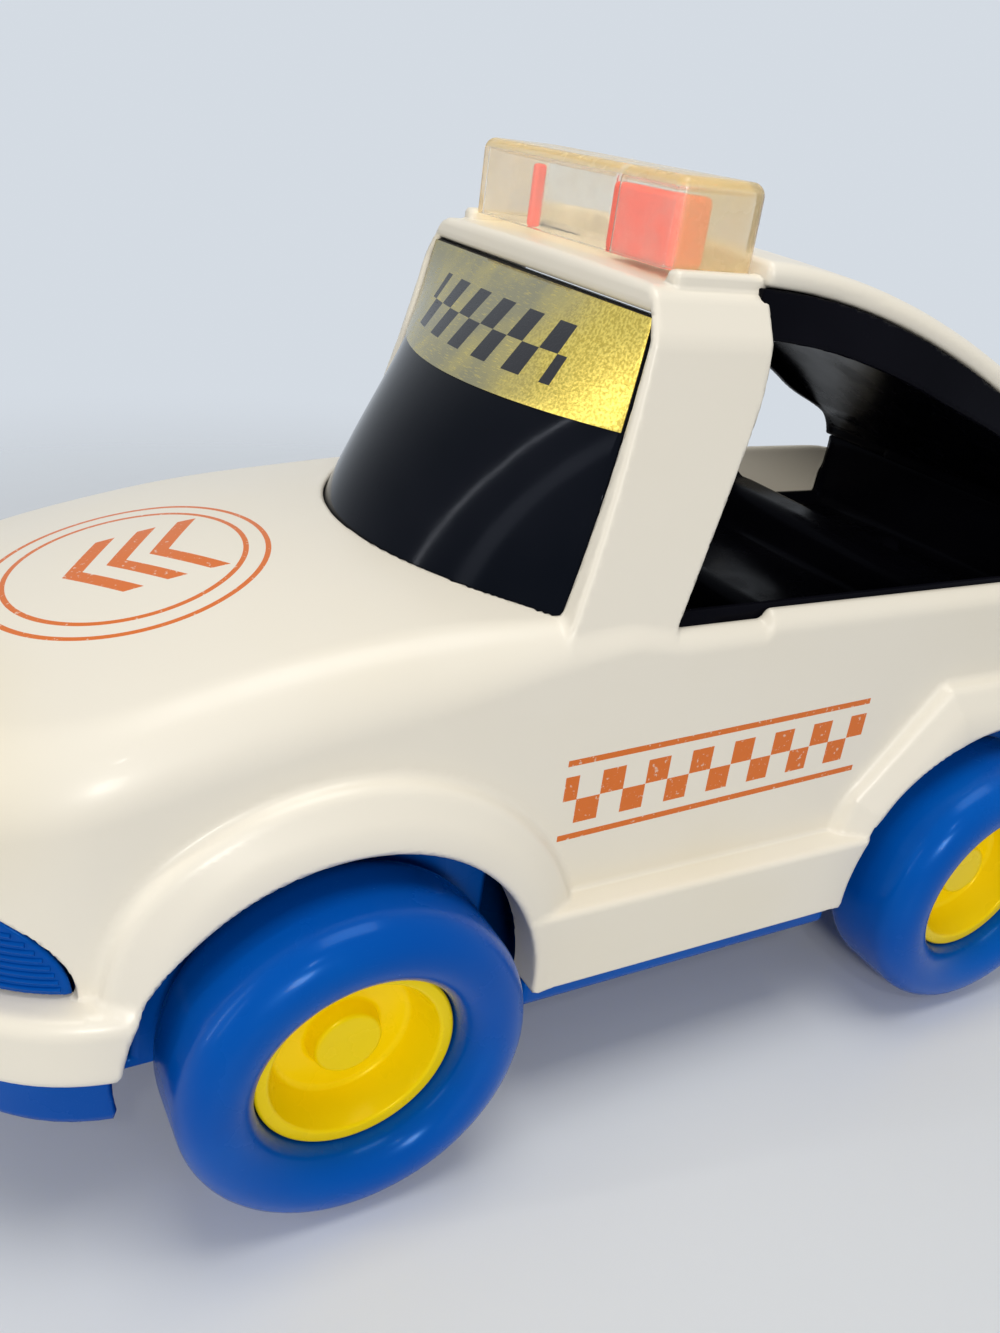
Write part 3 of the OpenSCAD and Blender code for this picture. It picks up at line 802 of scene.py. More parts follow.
@dataclass
class CarShape:
    """Sizes in millimetres that the mouldings share."""

    front_x: float
    rear_x: float
    nose_x: float
    tail_x: float
    sill_y: float
    tyre_r: float
    bumper_z: tuple[float, float]
    side_y: float = 55.5
    side_lean: float = 1.8
    belt_z: float = 102.4
    bumper_step: float = 3.0
    sill_z: tuple[float, float] = (29.8, 48.2)
    bonnet_drop: float = 23.4
    bonnet_power: float = 1.8
    tail_from: float = -126.0
    tail_drop: float = 8.0
    crown: float = 2.0
    cowl_rise: float = 2.6
    cowl_x: tuple[float, float] = (8.0, 34.0)
    nose_rise: float = 2.4
    nose_rise_x: tuple[float, float] = (40.0, 85.0)
    notch: float = 2.0
    notch_back_x: tuple[float, float] = (-15.0, -12.5)
    notch_front_x: tuple[float, float] = (6.0, 20.0)
    deck_r: float = 4.0
    bonnet_r: float = 10.5
    bonnet_r_x: tuple[float, float] = (10.0, 60.0)
    end_power: float = 2.4
    nose_round: float = 45.0
    tail_round: float = 34.0
    wall: float = 2.5
    arch_r: float = 38.3
    flare_r: float = 49.5
    flare_lip: float = 3.0
    flare_step: float = 1.5
    screen_x: float = 30.5
    screen_bow: float = 24.5
    screen_fade: float = 1.75
    screen_sag: float = 4.2
    screen_y: float = 47.0
    screen_top: Point = (18.3, 42.2, 154.6)
    hole_y: float = 49.6
    hole_back_x: float = -124.0
    pillar_foot: tuple[float, float] = (51.5, 105.0)
    fold: tuple[float, float] = (45.0, 151.2)
    roof_edge: tuple[float, float] = (40.5, 159.3)
    strip_from: float = -3.5
    strip_l: float = 129.0
    strip_z: float = 160.0
    strip_power: float = 1.85
    strip_y: float = 41.6
    strip_spread: float = 0.16
    lamp_l: float = 31.0
    lamp_h: float = 19.0
    lamp_in: float = 20.0

    @classmethod
    def from_frame(cls) -> "CarShape":
        """Reads the main sizes from the frame.

        Returns:
            The car's sizes.
        """
        low, high = box_mm("body_shell")
        front_low, front_high = box_mm("tyre_front_left")
        rear_low, rear_high = box_mm("tyre_rear_left")
        tray_lip = 10.0
        return cls(
            front_x=(front_low[0] + front_high[0]) / 2,
            rear_x=(rear_low[0] + rear_high[0]) / 2,
            nose_x=high[0],
            tail_x=low[0],
            sill_y=high[1],
            tyre_r=(front_high[2] - front_low[2]) / 2,
            bumper_z=(box_mm("chassis")[0][2] + tray_lip, box_mm("headlight_left")[0][2]),
        )

    def plan(self, x: Array, y: Array, half: float | Array, inset: float) -> Array:
        """Distance to the car's outline seen from above.

        Args:
            x: places along the car.
            y: places across the car.
            half: half-width.
            inset: how far the ends are drawn in.

        Returns:
            Distances, negative inside.
        """
        nose_l = self.nose_round - inset
        tail_l = self.tail_round - inset
        front = (x - self.nose_x + self.nose_round) / nose_l
        back = (self.tail_x + self.tail_round - x) / tail_l
        length = np.where(front > back, nose_l, tail_l)
        t = np.maximum(np.maximum(front, back), 0)
        v = np.abs(y) / half
        n = self.end_power
        s = np.maximum((t ** n + v ** n) ** (1 / n), 0.05)
        steep = np.hypot((t / s) ** (n - 1) / length, (v / s) ** (n - 1) / half)
        return (s - 1) / np.maximum(steep, 1 / (2 * self.nose_x))

    def shoulder(self, x: Array) -> Array:
        """Height of the shoulder line along the car.

        Args:
            x: places along the car.

        Returns:
            Heights.
        """
        ahead = np.clip((x - self.screen_x) / (self.nose_x - self.screen_x), 0, 1.2)
        behind = np.clip((self.tail_from - x) / (self.tail_from - self.tail_x), 0, 1.2)
        return self.belt_z - self.bonnet_drop * ahead ** self.bonnet_power - self.tail_drop * behind ** 2

    def block(self, x: Array, y: Array, z: Array, depth: float = 0.0) -> Array:
        """Body below the belt line without flares, bumpers and sills.

        Args:
            x: places along the car.
            y: places across the car.
            z: heights.
            depth: how far inside the outer face.

        Returns:
            Distances, negative inside.
        """
        rise = np.clip((z - self.bumper_z[0]) / (self.belt_z - self.bumper_z[0]), 0, 1)
        side = self.plan(x, y, self.side_y - self.side_lean * rise, self.bumper_step)
        arch = np.clip(1 - (y / self.side_y) ** 2, 0, 1)
        notch = smooth_step(x, *self.notch_back_x) * (1 - smooth_step(x, *self.notch_front_x))
        crown = self.crown + self.cowl_rise * smooth_step(x, *self.cowl_x)
        crown = crown + self.nose_rise * smooth_step(x, *self.nose_rise_x)
        top = z - self.shoulder(x) - crown * arch + self.notch * notch
        r = self.deck_r + (self.bonnet_r - self.deck_r) * smooth_step(x, *self.bonnet_r_x)
        return round_max(side, top * 0.97, r) + depth

    def strip_edge(self, x: Array) -> tuple[Array, Array]:
        """Lower edge of the roof strip and how much its slope stretches heights.

        Args:
            x: places along the car.

        Returns:
            Heights and stretch.
        """
        u = np.maximum(0, (self.strip_from - x) / self.strip_l)
        fall = self.strip_z - self.belt_z
        steep = self.strip_power * fall * u ** (self.strip_power - 1) / self.strip_l
        return self.strip_z - fall * u ** self.strip_power, np.sqrt(1 + steep * steep)

    def strip_half(self, z: Array) -> Array:
        """Half-width of the roof strip at a height."""
        return self.strip_y + np.maximum(0, self.roof_edge[1] - z) * self.strip_spread

    def screen_up(self, z: Array) -> Array:
        """Share of the windscreen's height, 0 at its foot and 1 at its top."""
        return np.clip((z - self.belt_z) / (self.screen_top[2] - self.belt_z), -0.2, 1.1)

    def screen_front(self, y: Array, z: Array) -> Array:
        """Front face of the windscreen: bowed at its foot and straight at its top.

        Args:
            y: places across the car.
            z: heights.

        Returns:
            Places along the car.
        """
        up = self.screen_up(z)
        half = self.screen_y + (self.screen_top[1] - self.screen_y) * up
        across = 1 - np.minimum((y / half) ** 2, 1.3)
        return self.screen_line(z) + self.screen_bow * (1 - np.abs(up) ** self.screen_fade) * across

    def screen_line(self, z: Array) -> Array:
        """Side edge of the windscreen, seen from the side."""
        up = self.screen_up(z)
        return self.screen_x + (self.screen_top[0] - self.screen_x) * up - self.screen_sag * up * (1 - up)

    def lamp_window(self, x: Array, y: Array, z: Array) -> Array:
        """Window of the headlights in the nose.

        Args:
            x: places along the car.
            y: places across the car.
            z: heights.

        Returns:
            Distances, negative inside.
        """
        dx = (x - self.nose_x) / self.lamp_l
        dz = (z - self.bumper_z[1]) / self.lamp_h
        ring = (np.hypot(np.minimum(dx, 0), np.maximum(dz, 0)) - 1) * self.lamp_h
        return np.maximum(np.maximum(ring, self.bumper_z[1] - z), self.lamp_in - np.abs(y))


@dataclass
class BodyShell:
    """White shell with bumpers, sills, flares, pillars and roof strip."""

    shape: CarShape
    step: float = 0.95
    rear_facets: tuple[tuple[float, float], ...] = (
        (16, 45.3), (41, 46.4), (90, 49.2), (139, 46.4), (164, 45.3))
    bumper_r: float = 3.4
    sill_r: float = 1.2
    flare_edge_r: float = 1.6
    flare_narrow: float = 6.5
    flare_narrow_z: tuple[float, float] = (8.0, 42.0)
    flare_in_y: float = 44.0
    fold_r: float = 0.6
    roof_crown: float = 0.6
    roof_half: float = 40.0
    roof_r: float = 2.2
    frame_lip: float = 0.8
    frame_r: float = 1.2
    brow_r: float = 1.6
    pillar_back: tuple[float, float] = (7.2, 102.2)
    pillar_rake: float = 0.345
    pillar_low_z: float = 96.0
    pillar_t: tuple[float, float] = (5.2, 104.0)
    pillar_taper: float = 0.068
    roof_back: float = 6.8
    strip_t: float = 4.4
    strip_crown: float = 1.2
    strip_crown_half: float = 42.0
    strip_edge_r: float = 2.3
    strip_front_x: float = -5.0
    lug_low: Point = (-6.0, 36.2, 156.5)
    lug_high: Point = (13.6, 39.8, 161.8)
    rim_low_z: float = 86.0
    hole_low_z: float = 84.0
    hole_corner_r: float = 3.0

    def bumpers(self, x: Array, y: Array, z: Array) -> Array:
        """Both bumpers, with their shelves.

        Args:
            x: places along the car.
            y: places across the car.
            z: heights.

        Returns:
            Distances, negative inside.
        """
        s = self.shape
        ends = np.minimum(s.front_x - x, x - s.rear_x)
        bar = round_max(s.plan(x, y, s.sill_y, 0.0), slab(z, *s.bumper_z), self.bumper_r)
        return np.maximum(bar, ends)

    def sills(self, x: Array, y: Array, z: Array) -> Array:
        """Sill steps between the wheel arches.

        Args:
            x: places along the car.
            y: places across the car.
            z: heights.

        Returns:
            Distances, negative inside.
        """
        s = self.shape
        tall = round_max(y - s.sill_y, slab(z, *s.sill_z), self.sill_r)
        return np.maximum(tall, slab(x, s.rear_x + s.tyre_r, s.front_x - s.tyre_r))

    def flare(self, r: Array, y: Array) -> Array:
        """Raised band round a wheel arch.

        Args:
            r: distance from the axle.
            y: place across the car.

        Returns:
            Distances, negative inside.
        """
        s = self.shape
        edge_y = s.side_y + s.flare_step
        lip_r = s.arch_r + s.flare_lip
        tilt = math.atan2(s.flare_r - lip_r, s.sill_y - edge_y)
        cone = (r - s.flare_r) * math.cos(tilt) + (y - edge_y) * math.sin(tilt)
        face = round_max(cone, y - s.sill_y, self.flare_edge_r)
        return round_max(face, r - s.flare_r, self.flare_edge_r)

    def flares(self, x: Array, y: Array, z: Array) -> Array:
        """Round flares at the front and faceted ones at the back.

        Args:
            x: places along the car.
            y: places across the car.
            z: heights.

        Returns:
            Distances, negative inside.
        """
        s = self.shape
        up = z - s.tyre_r
        narrow = self.flare_narrow * (1 - smooth_step(up, *self.flare_narrow_z)) * (x > s.front_x)
        front = self.flare(np.hypot(x - s.front_x, up) + narrow, y)
        beyond = np.full_like(x, -1e3)
        for degrees, distance in self.rear_facets:
            a = math.radians(degrees)
            beyond = round_max(beyond, (x - s.rear_x) * math.cos(a) + up * math.sin(a) - distance, 1.0)
        rear = self.flare(beyond + s.flare_r, y)
        both = np.minimum(front, rear)
        low = np.where((x > s.rear_x) & (x < s.front_x), s.sill_z[0], s.bumper_z[1] - 2.0)
        return np.maximum(both, np.maximum(low - z, self.flare_in_y - y))

    def hull(self, y: Array, z: Array) -> tuple[Array, Array]:
        """Outer faces of the pillars, and the same with the roof's top.

        Args:
            y: places across the car.
            z: heights.

        Returns:
            Distances without and with the roof's top, negative inside.
        """
        s = self.shape
        lean = math.atan2(s.pillar_foot[0] - s.fold[0], s.fold[1] - s.pillar_foot[1])
        low = (y - s.fold[0]) * math.cos(lean) + (z - s.fold[1]) * math.sin(lean)
        bevel = math.atan2(s.fold[0] - s.roof_edge[0], s.roof_edge[1] - s.fold[1])
        high = (y - s.fold[0]) * math.cos(bevel) + (z - s.fold[1]) * math.sin(bevel)
        outer = round_max(low, high, self.fold_r)
        crown = self.roof_crown * np.clip(1 - (y / self.roof_half) ** 2, 0, 1)
        return outer, round_max(outer, z - s.roof_edge[1] - crown, self.roof_r)

    def strip(self, x: Array, y: Array, z: Array) -> Array:
        """Roof strip that sweeps back to the deck.

        Args:
            x: places along the car.
            y: places across the car.
            z: heights.

        Returns:
            Distances, negative inside.
        """
        s = self.shape
        edge, stretch = s.strip_edge(x)
        above = (z - edge) / stretch
        crown = self.strip_crown * np.clip(1 - (y / self.strip_crown_half) ** 2, 0, 1)
        band = np.maximum(-above, above - self.strip_t - crown)
        side = np.maximum(y - s.strip_half(z), s.plan(x, y, s.side_y, s.bumper_step + 1.5))
        return round_max(round_max(band, side, self.strip_edge_r), x - self.strip_front_x, 1.3)

    def cabin(self, x: Array, y: Array, z: Array) -> Array:
        """Pillars, roof, the roof strip and the lugs that hold the light cover.

        Args:
            x: places along the car.
            y: places across the car.
            z: heights.

        Returns:
            Distances, negative inside.
        """
        s = self.shape
        outer, hull = self.hull(y, z)
        front_x = s.screen_line(z) + self.frame_lip
        slant = self.pillar_back[0] - self.pillar_rake * (z - self.pillar_back[1])
        back_x = (slant - self.roof_back + np.hypot(slant + self.roof_back, 2.0)) / 2
        thick = np.clip(self.pillar_t[0] - self.pillar_taper * (z - self.pillar_t[1]), 1.8, 5.4)
        walls = np.maximum(hull, -(outer + thick))
        pillar = round_max(round_max(walls, back_x - x, self.frame_r), x - front_x, self.frame_r)
        pillar = np.maximum(pillar, self.pillar_low_z - z)
        roof = np.maximum(hull, s.screen_top[2] + 0.3 - z)
        roof = round_max(round_max(roof, back_x - x, self.frame_r), x - front_x, self.brow_r)
        lug = rounded_box((x, y, z), self.lug_low, self.lug_high, 1.2)
        return np.minimum(round_min(np.minimum(pillar, roof), self.strip(x, y, z), 1.0), lug)

    def wells(self, x: Array, z: Array) -> Array:
        """Wheel arches.

        Args:
            x: places along the car.
            z: heights.

        Returns:
            Distances, negative inside.
        """
        s = self.shape
        up = z - s.tyre_r
        return np.minimum(np.hypot(x - s.front_x, up), np.hypot(x - s.rear_x, up)) - s.arch_r

    def inside(self, x: Array, y: Array, z: Array) -> Array:
        """Hollow under the shell, which leaves a thick rim round the cabin.

        Args:
            x: places along the car.
            y: places across the car.
            z: heights.

        Returns:
            Distances, negative inside.
        """
        s = self.shape
        main = s.block(x, y, z, s.wall)
        rim = np.maximum(self.rim_low_z - z, s.hole_y - 2.5 - y)
        rim = np.maximum(rim, slab(x, s.hole_back_x - 3.0, s.screen_x + 4.0))
        main = np.maximum(main, -rim)
        ends = slab(x, s.rear_x - s.arch_r - 1.0, s.front_x + s.arch_r + 1.0)
        bumper = np.maximum(s.plan(x, y, s.sill_y - 5.2, 5.2), z - s.bumper_z[1] + s.wall)
        return np.minimum(main, np.maximum(bumper, -ends))

    def hole(self, x: Array, y: Array, z: Array) -> Array:
        """Cabin well, from the windscreen's foot to the deck.

        Args:
            x: places along the car.
            y: places across the car.
            z: heights.

        Returns:
            Distances, negative inside.
        """
        s = self.shape
        r = self.hole_corner_r
        ahead = (x - s.screen_front(y, z) - 0.2) * 0.8
        plan = round_max(round_max(ahead, s.hole_back_x - x, r), y - s.hole_y, r)
        return np.maximum(plan, self.hole_low_z - z)

    def field(self, x: Array, y: Array, z: Array) -> Array:
        """Distance field of the whole shell.

        Args:
            x: places along the car.
            y: places across the car.
            z: heights.

        Returns:
            Distances, negative inside.
        """
        s = self.shape
        lower = round_min(s.block(x, y, z), self.bumpers(x, y, z), 1.2)
        lower = round_min(lower, self.flares(x, y, z), 1.6)
        lower = round_min(lower, self.sills(x, y, z), 0.8)
        bottom = np.where((x > s.rear_x) & (x < s.front_x), s.sill_z[0], s.bumper_z[0])
        lower = round_max(lower, bottom - z, 0.8)
        lower = round_max(lower, -self.wells(x, z), 1.3)
        lower = np.maximum(lower, -self.inside(x, y, z))
        lower = round_max(lower, -self.hole(x, y, z), 1.2)
        lamp = np.maximum(s.lamp_window(x, y, z) - 0.3, -s.block(x, y, z, 6.0))
        lower = round_max(lower, -lamp, 0.4)
        return round_min(lower, self.cabin(x, y, z), 1.2)

    def build(self, finishes: Finishes) -> None:
        """Builds the shell and dresses it.

        Args:
            finishes: the car's finishes.
        """
        s = self.shape
        grid = Mesher((s.tail_x, 0.0, 30.0), (s.nose_x, s.sill_y, 166.0), self.step)
        finishes.dress(grid.build("white_shell", self.field), "body_white", Body.CAR, "body_shell")


@dataclass
class Chassis:
    """Blue tray under the shell, with the wheel-well walls and the screws."""

    shape: CarShape
    inset: float = 4.0
    step: float = 1.3
    low: float = 22.6
    edge_r: float = 2.2
    floor_t: float = 2.6
    well_y: tuple[float, float] = (43.4, 46.0)
    well_half_l: float = 34.0
    well_top_z: float = 60.0
    post_y: tuple[float, float] = (40.0, 45.9)
    post_half_l: float = 6.0
    post_top_z: float = 38.4
    bore_r: float = 2.2
    recess_r: float = 3.1
    recess_depth: float = 1.9
    screw_edge: float = 2.8
    head_r: float = 2.75
    head_z: tuple[float, float] = (0.05, 1.8)
    slot_half_w: float = 0.4
    slot_half_l: float = 1.7
    slot_depth: float = 1.0

    def field(self, x: Array, y: Array, z: Array) -> Array:
        """Distance field of the tray.

        Args:
            x: places along the car.
            y: places across the car.
            z: heights.

        Returns:
            Distances, negative inside.
        """
        s = self.shape
        low = self.low
        between = (x > s.rear_x) & (x < s.front_x)
        high = np.where(between, s.sill_z[0] - 0.2, s.bumper_z[0] - 0.2)
        outline = s.plan(x, y, s.sill_y - self.inset, self.inset)
        tray = round_max(outline, np.maximum(low - z, z - high), self.edge_r)
        inner = s.plan(x, y, s.sill_y - self.inset - self.floor_t, self.inset + self.floor_t)
        tray = np.maximum(tray, -np.maximum(inner, low + self.floor_t - z))
        wall_x, post_x = self.well_half_l, self.post_half_l
        for axle in (s.front_x, s.rear_x):
            p = (x - axle, y, z)
            far = np.hypot(x - axle, z - s.tyre_r)
            room = np.maximum(far - s.arch_r - 0.8, self.well_y[1] - y)
            tray = round_max(tray, -room, 1.0)
            wall_top = (wall_x, self.well_y[1], self.well_top_z)
            wall = rounded_box(p, (-wall_x, self.well_y[0], low), wall_top, 0.9)
            post_top = (post_x, self.post_y[1], self.post_top_z)
            post = rounded_box(p, (-post_x, self.post_y[0], low), post_top, 0.8)
            tray = np.minimum(tray, np.maximum(np.minimum(wall, post), self.bore_r - far))
        for screw_x, screw_y in self.screw_places():
            head = np.hypot(x - screw_x, y - screw_y)
            tray = round_max(tray, -np.maximum(head - self.recess_r, z - low - self.recess_depth), 0.4)
        return tray

    def screw_places(self) -> list[tuple[float, float]]:
        """Places of the screws on the left side.

        Returns:
            Places along and across the car.
        """
        low, high = box_mm("chassis_screws")
        y = high[1] - self.screw_edge
        return [(low[0] + self.screw_edge, y), (high[0] - self.screw_edge, y)]

    def screw_head(self) -> bpy.types.Object:
        """One round screw head with a cross recess, seen from below.

        Returns:
            The head, in metres.
        """
        grid = Mesher((-3.0, -3.0, -0.2), (3.0, 3.0, 2.2), 0.14, mirrored=False)

        def field(x: Array, y: Array, z: Array) -> Array:
            """Distance field of the head.

            Args:
                x: places along the car.
                y: places across the car.
                z: heights.

            Returns:
                Distances, negative inside.
            """
            pan = round_max(np.hypot(x, y) - self.head_r, slab(z, *self.head_z), 0.5)
            along = np.maximum(np.abs(x) - self.slot_half_w, np.abs(y) - self.slot_half_l)
            across = np.maximum(np.abs(y) - self.slot_half_w, np.abs(x) - self.slot_half_l)
            cross = np.minimum(along, across)
            return round_max(pan, -np.maximum(cross, z - self.slot_depth), 0.15)

        return grid.build("screw_head", field)

    def build(self, finishes: Finishes) -> None:
        """Builds the tray and sets the screws on their places.

        Args:
            finishes: the car's finishes.
        """
        s = self.shape
        grid = Mesher((s.tail_x, 0.0, self.low - 1.0), (s.nose_x, s.sill_y, 61.0), self.step)
        finishes.dress(grid.build("chassis_tray", self.field), "blue_plastic", Body.CAR, "chassis")
        places = [(x, side * y, self.low) for x, y in self.screw_places() for side in (-1, 1)]
        head = self.screw_head()
        screws = ScrewSet(finishes.by_slot["screw_steel"]).build("tray_screws", np.array(places), head)
        bpy.data.objects.remove(head)
        finishes.dress(screws, "screw_steel", Body.CAR, "chassis_screws")


class NodeTree:
    """A Geometry Nodes tree with named inputs."""

    def __init__(self, name: str) -> None:
        """Makes a tree with a geometry input and output.

        Args:
            name: name of the tree.
        """
        self.tree = bpy.data.node_groups.new(name, "GeometryNodeTree")
        self.tree.interface.new_socket("Geometry", in_out="INPUT", socket_type="NodeSocketGeometry")
        self.tree.interface.new_socket("Geometry", in_out="OUTPUT", socket_type="NodeSocketGeometry")
        self.values: dict[str, object] = {}
        self.start = self.tree.nodes.new("NodeGroupInput")
        self.end = self.tree.nodes.new("NodeGroupOutput")

    def input(self, name: str, kind: str, value: object) -> bpy.types.NodeSocket:
        """Adds a named input.

        Args:
            name: its name.
            kind: its socket type.
            value: the value that the modifier gets.

        Returns:
            The socket inside the tree.
        """
        socket = self.tree.interface.new_socket(name, in_out="INPUT", socket_type=kind)
        self.values[socket.identifier] = value
        return self.start.outputs[name]

    def add(self, kind: str, settings: dict, inputs: dict) -> bpy.types.Node:
        """Adds a node.

        Args:
            kind: the node's type.
            settings: its settings by name, set first.
            inputs: values or sockets of its inputs, by name or number.

        Returns:
            The node.
        """
        node = self.tree.nodes.new(kind)
        for key, value in settings.items():
            setattr(node, key, value)
        for key, value in inputs.items():
            if isinstance(value, bpy.types.NodeSocket):
                self.tree.links.new(value, node.inputs[key])
            else:
                node.inputs[key].default_value = value
        return node

    def run(self, piece: bpy.types.Object, result: bpy.types.NodeSocket,
            material: bpy.types.NodeSocket) -> None:
        """Ends the tree, runs it on a piece and keeps the plain mesh.

        Args:
            piece: object that carries the starting geometry.
            result: geometry to end with.
            material: material input.
        """
        real = self.add("GeometryNodeRealizeInstances", {}, {"Geometry": result})
        inputs = {"Geometry": real.outputs[0], "Material": material}
        dressed = self.add("GeometryNodeSetMaterial", {}, inputs)
        self.tree.links.new(dressed.outputs[0], self.end.inputs[0])
        modifier = piece.modifiers.new(self.tree.name, "NODES")
        modifier.node_group = self.tree
        for identifier, value in self.values.items():
            modifier[identifier] = value
        bake_modifiers(piece)
        piece.data.shade_smooth()


@dataclass
class ScrewSet:
    """Screws set on points, each turned further than the one before."""

    material: bpy.types.Material
    turn: float = 1.3

    def build(self, name: str, places: Array, head: bpy.types.Object) -> bpy.types.Object:
        """Sets a copy of the head on each place.

        Args:
            name: name of the piece.
            places: places of the screws in millimetres.
            head: one screw head.

        Returns:
            The screws as one plain mesh.
        """
        piece = new_piece(name, places, np.zeros((0, 3), int))
        tree = NodeTree("set_screws")
        head_input = tree.input("Head", "NodeSocketObject", head)
        material = tree.input("Finish", "NodeSocketMaterial", self.material)
        turn = tree.input("Turn", "NodeSocketFloat", self.turn)
        info = tree.add("GeometryNodeObjectInfo", {}, {"Object": head_input})
        index = tree.add("GeometryNodeInputIndex", {}, {})
        angle = tree.add("ShaderNodeMath", {"operation": "MULTIPLY"}, {0: index.outputs[0], 1: turn})
        spin = tree.add("ShaderNodeCombineXYZ", {}, {"Z": angle.outputs[0]})
        points = tree.add("GeometryNodeInstanceOnPoints", {}, {
            "Points": tree.start.outputs["Geometry"],
            "Instance": info.outputs["Geometry"],
            "Rotation": spin.outputs[0],
        })
        tree.run(piece, points.outputs[0], material)
        return piece


@dataclass
class Cabin:
    """Black tub, roof lining, windscreen and gold band."""

    shape: CarShape
    gap: float = 0.2
    corner_r: float = 3.0
    tub_front: float = 4.2
    tub_t: float = 2.0
    tub_low_z: float = 70.2
    rim_z: float = 103.0
    rim_dip: float = 14.0
    dip_start: tuple[float, float] = (84.0, 92.0)
    dip_stop: tuple[float, float] = (120.6, 121.4)
    back_rise: float = 3.2
    back_start: tuple[float, float] = (121.4, 122.0)
    dash_z: float = 99.0
    dash_x: float = -4.0
    seat_z: float = 84.0
    seat_x: tuple[float, float] = (-82.0, -46.0)
    rest_z: float = 95.0
    rest_x: tuple[float, float] = (-93.0, -79.0)
    seat_r: float = 4.0
    shelf_z: float = 86.0
    shelf_x: float = -90.0
    fin_low: Point = (-101.0, -7.0, 80.0)
    fin_high: Point = (-88.0, 7.0, 95.0)
    fin_r: float = 3.5
    lining_x: tuple[float, float] = (-134.0, -4.4)
    lining_back_x: float = -119.5
    lining_low_z: float = 106.5
    lining_out: tuple[float, float] = (0.1, 0.5)
    lining_in: tuple[float, float] = (2.4, 3.4)
    channel_h: float = 8.7
    channel_taper: tuple[float, float] = (3.2, 4.0)
    channel_steps: Point = (50.0, 95.0, 120.0)
    channel_in_y: float = 25.0
    window_back_x: float = -121.5
    window_r: float = 7.0
    pane_t: float = 2.0
    pane_gap: float = 0.3
    pane_columns: int = 97
    foot: float = 1.8
    foil_low_z: float = 135.5
    foil_t: float = 0.26
    foil_lift: float = 0.28
    foil_gap: float = 0.5

    def tub(self, x: Array, y: Array, z: Array) -> Array:
        """Distance field of the tub with its dash, seat and rear shelf.

        Args:
            x: places along the car.
            y: places across the car.
            z: heights.

        Returns:
            Distances, negative inside.
        """
        s = self.shape
        r = self.corner_r
        ahead = x - s.screen_front(y, np.full_like(z, s.belt_z)) + self.tub_front
        plan = round_max(ahead, s.hole_back_x + self.gap - x, r)
        plan = round_max(plan, y - s.hole_y + self.gap, r)
        dip = smooth_step(-x, *self.dip_start) * (1 - smooth_step(-x, *self.dip_stop))
        rim = self.rim_z - self.rim_dip * dip
        rim += self.back_rise * smooth_step(-x, *self.back_start)
        outer = round_max(plan, slab(z, self.tub_low_z, rim), 0.8)
        hollow = round_max(plan + self.tub_t, self.tub_low_z + self.tub_t - z, r)
        shell = np.maximum(outer, -hollow)
        inner = plan + self.tub_t / 2
        dash = round_max(np.maximum(inner, z - self.dash_z), self.dash_x - x, self.seat_r)
        seat = round_max(inner, z - self.seat_z, self.seat_r)
        seat = round_max(seat, slab(x, *self.seat_x), self.seat_r)
        rest = round_max(inner, z - self.rest_z, self.seat_r)
        rest = round_max(rest, slab(x, *self.rest_x), self.seat_r)
        shelf = round_max(np.maximum(inner, z - self.shelf_z), x - self.shelf_x, 2.0)
        fin = rounded_box((x, y, z), self.fin_low, self.fin_high, self.fin_r)
        blocks = round_min(round_min(seat, rest, 2.5), round_min(shelf, fin, 2.0), 2.0)
        filled = np.maximum(np.minimum(dash, blocks), self.tub_low_z - z)
        return round_min(shell, filled, r)

    def lining(self, x: Array, y: Array, z: Array) -> Array:
        """Distance field of the roof lining: a ceiling, side channels and a closed back.

        Args:
            x: places along the car.
            y: places across the car.
            z: heights.

        Returns:
            Distances, negative inside.
        """
        s = self.shape
        edge, stretch = s.strip_edge(x)
        depth = (edge - z) / stretch
        half = s.strip_half(z)
        over_tub = np.where(x > s.hole_back_x - 0.6, self.lining_low_z, 0.0)
        deck = np.maximum(s.shoulder(x) + s.crown, over_tub)
        outer = np.maximum(self.lining_out[0] - depth, y - half + self.lining_out[1])
        outer = np.maximum(outer, np.maximum(deck - z, slab(x, *self.lining_x)))
        inner = np.maximum(self.lining_in[0] - depth, y - half + self.lining_in[1])
        inner = np.maximum(inner, self.lining_back_x - x)
        shell = round_max(outer, -inner, 0.6)
        near, middle, far = self.channel_steps
        first, second = self.channel_taper
        band = self.channel_h - first * smooth_step(-x, near, middle) - second * smooth_step(-x, middle, far)
        window = round_max(band - depth, self.window_back_x - x, self.window_r)
        window = np.maximum(window, self.channel_in_y - y)
        return round_max(shell, -window, 0.8)

    def screen_points(self, low: float, high: float, lift: float, edge: float, rows: int) -> Array:
        """Grid of points on the windscreen's face.

        Args:
            low: height of the lowest row.
            high: height of the highest row.
            lift: distance in front of the face.
            edge: room left at each side.
            rows: number of rows.

        Returns:
            Points by row and column.
        """
        s = self.shape
        z = np.linspace(low, high, rows)[:, None]
        up = (z - s.belt_z) / (s.screen_top[2] - s.belt_z)
        half = s.screen_y + (s.screen_top[1] - s.screen_y) * up - edge
        y = np.linspace(-1, 1, self.pane_columns)[None, :] * half
        z = np.broadcast_to(z, y.shape)
        x = s.screen_front(y, z) + lift
        return np.stack([x, y, z], axis=2)

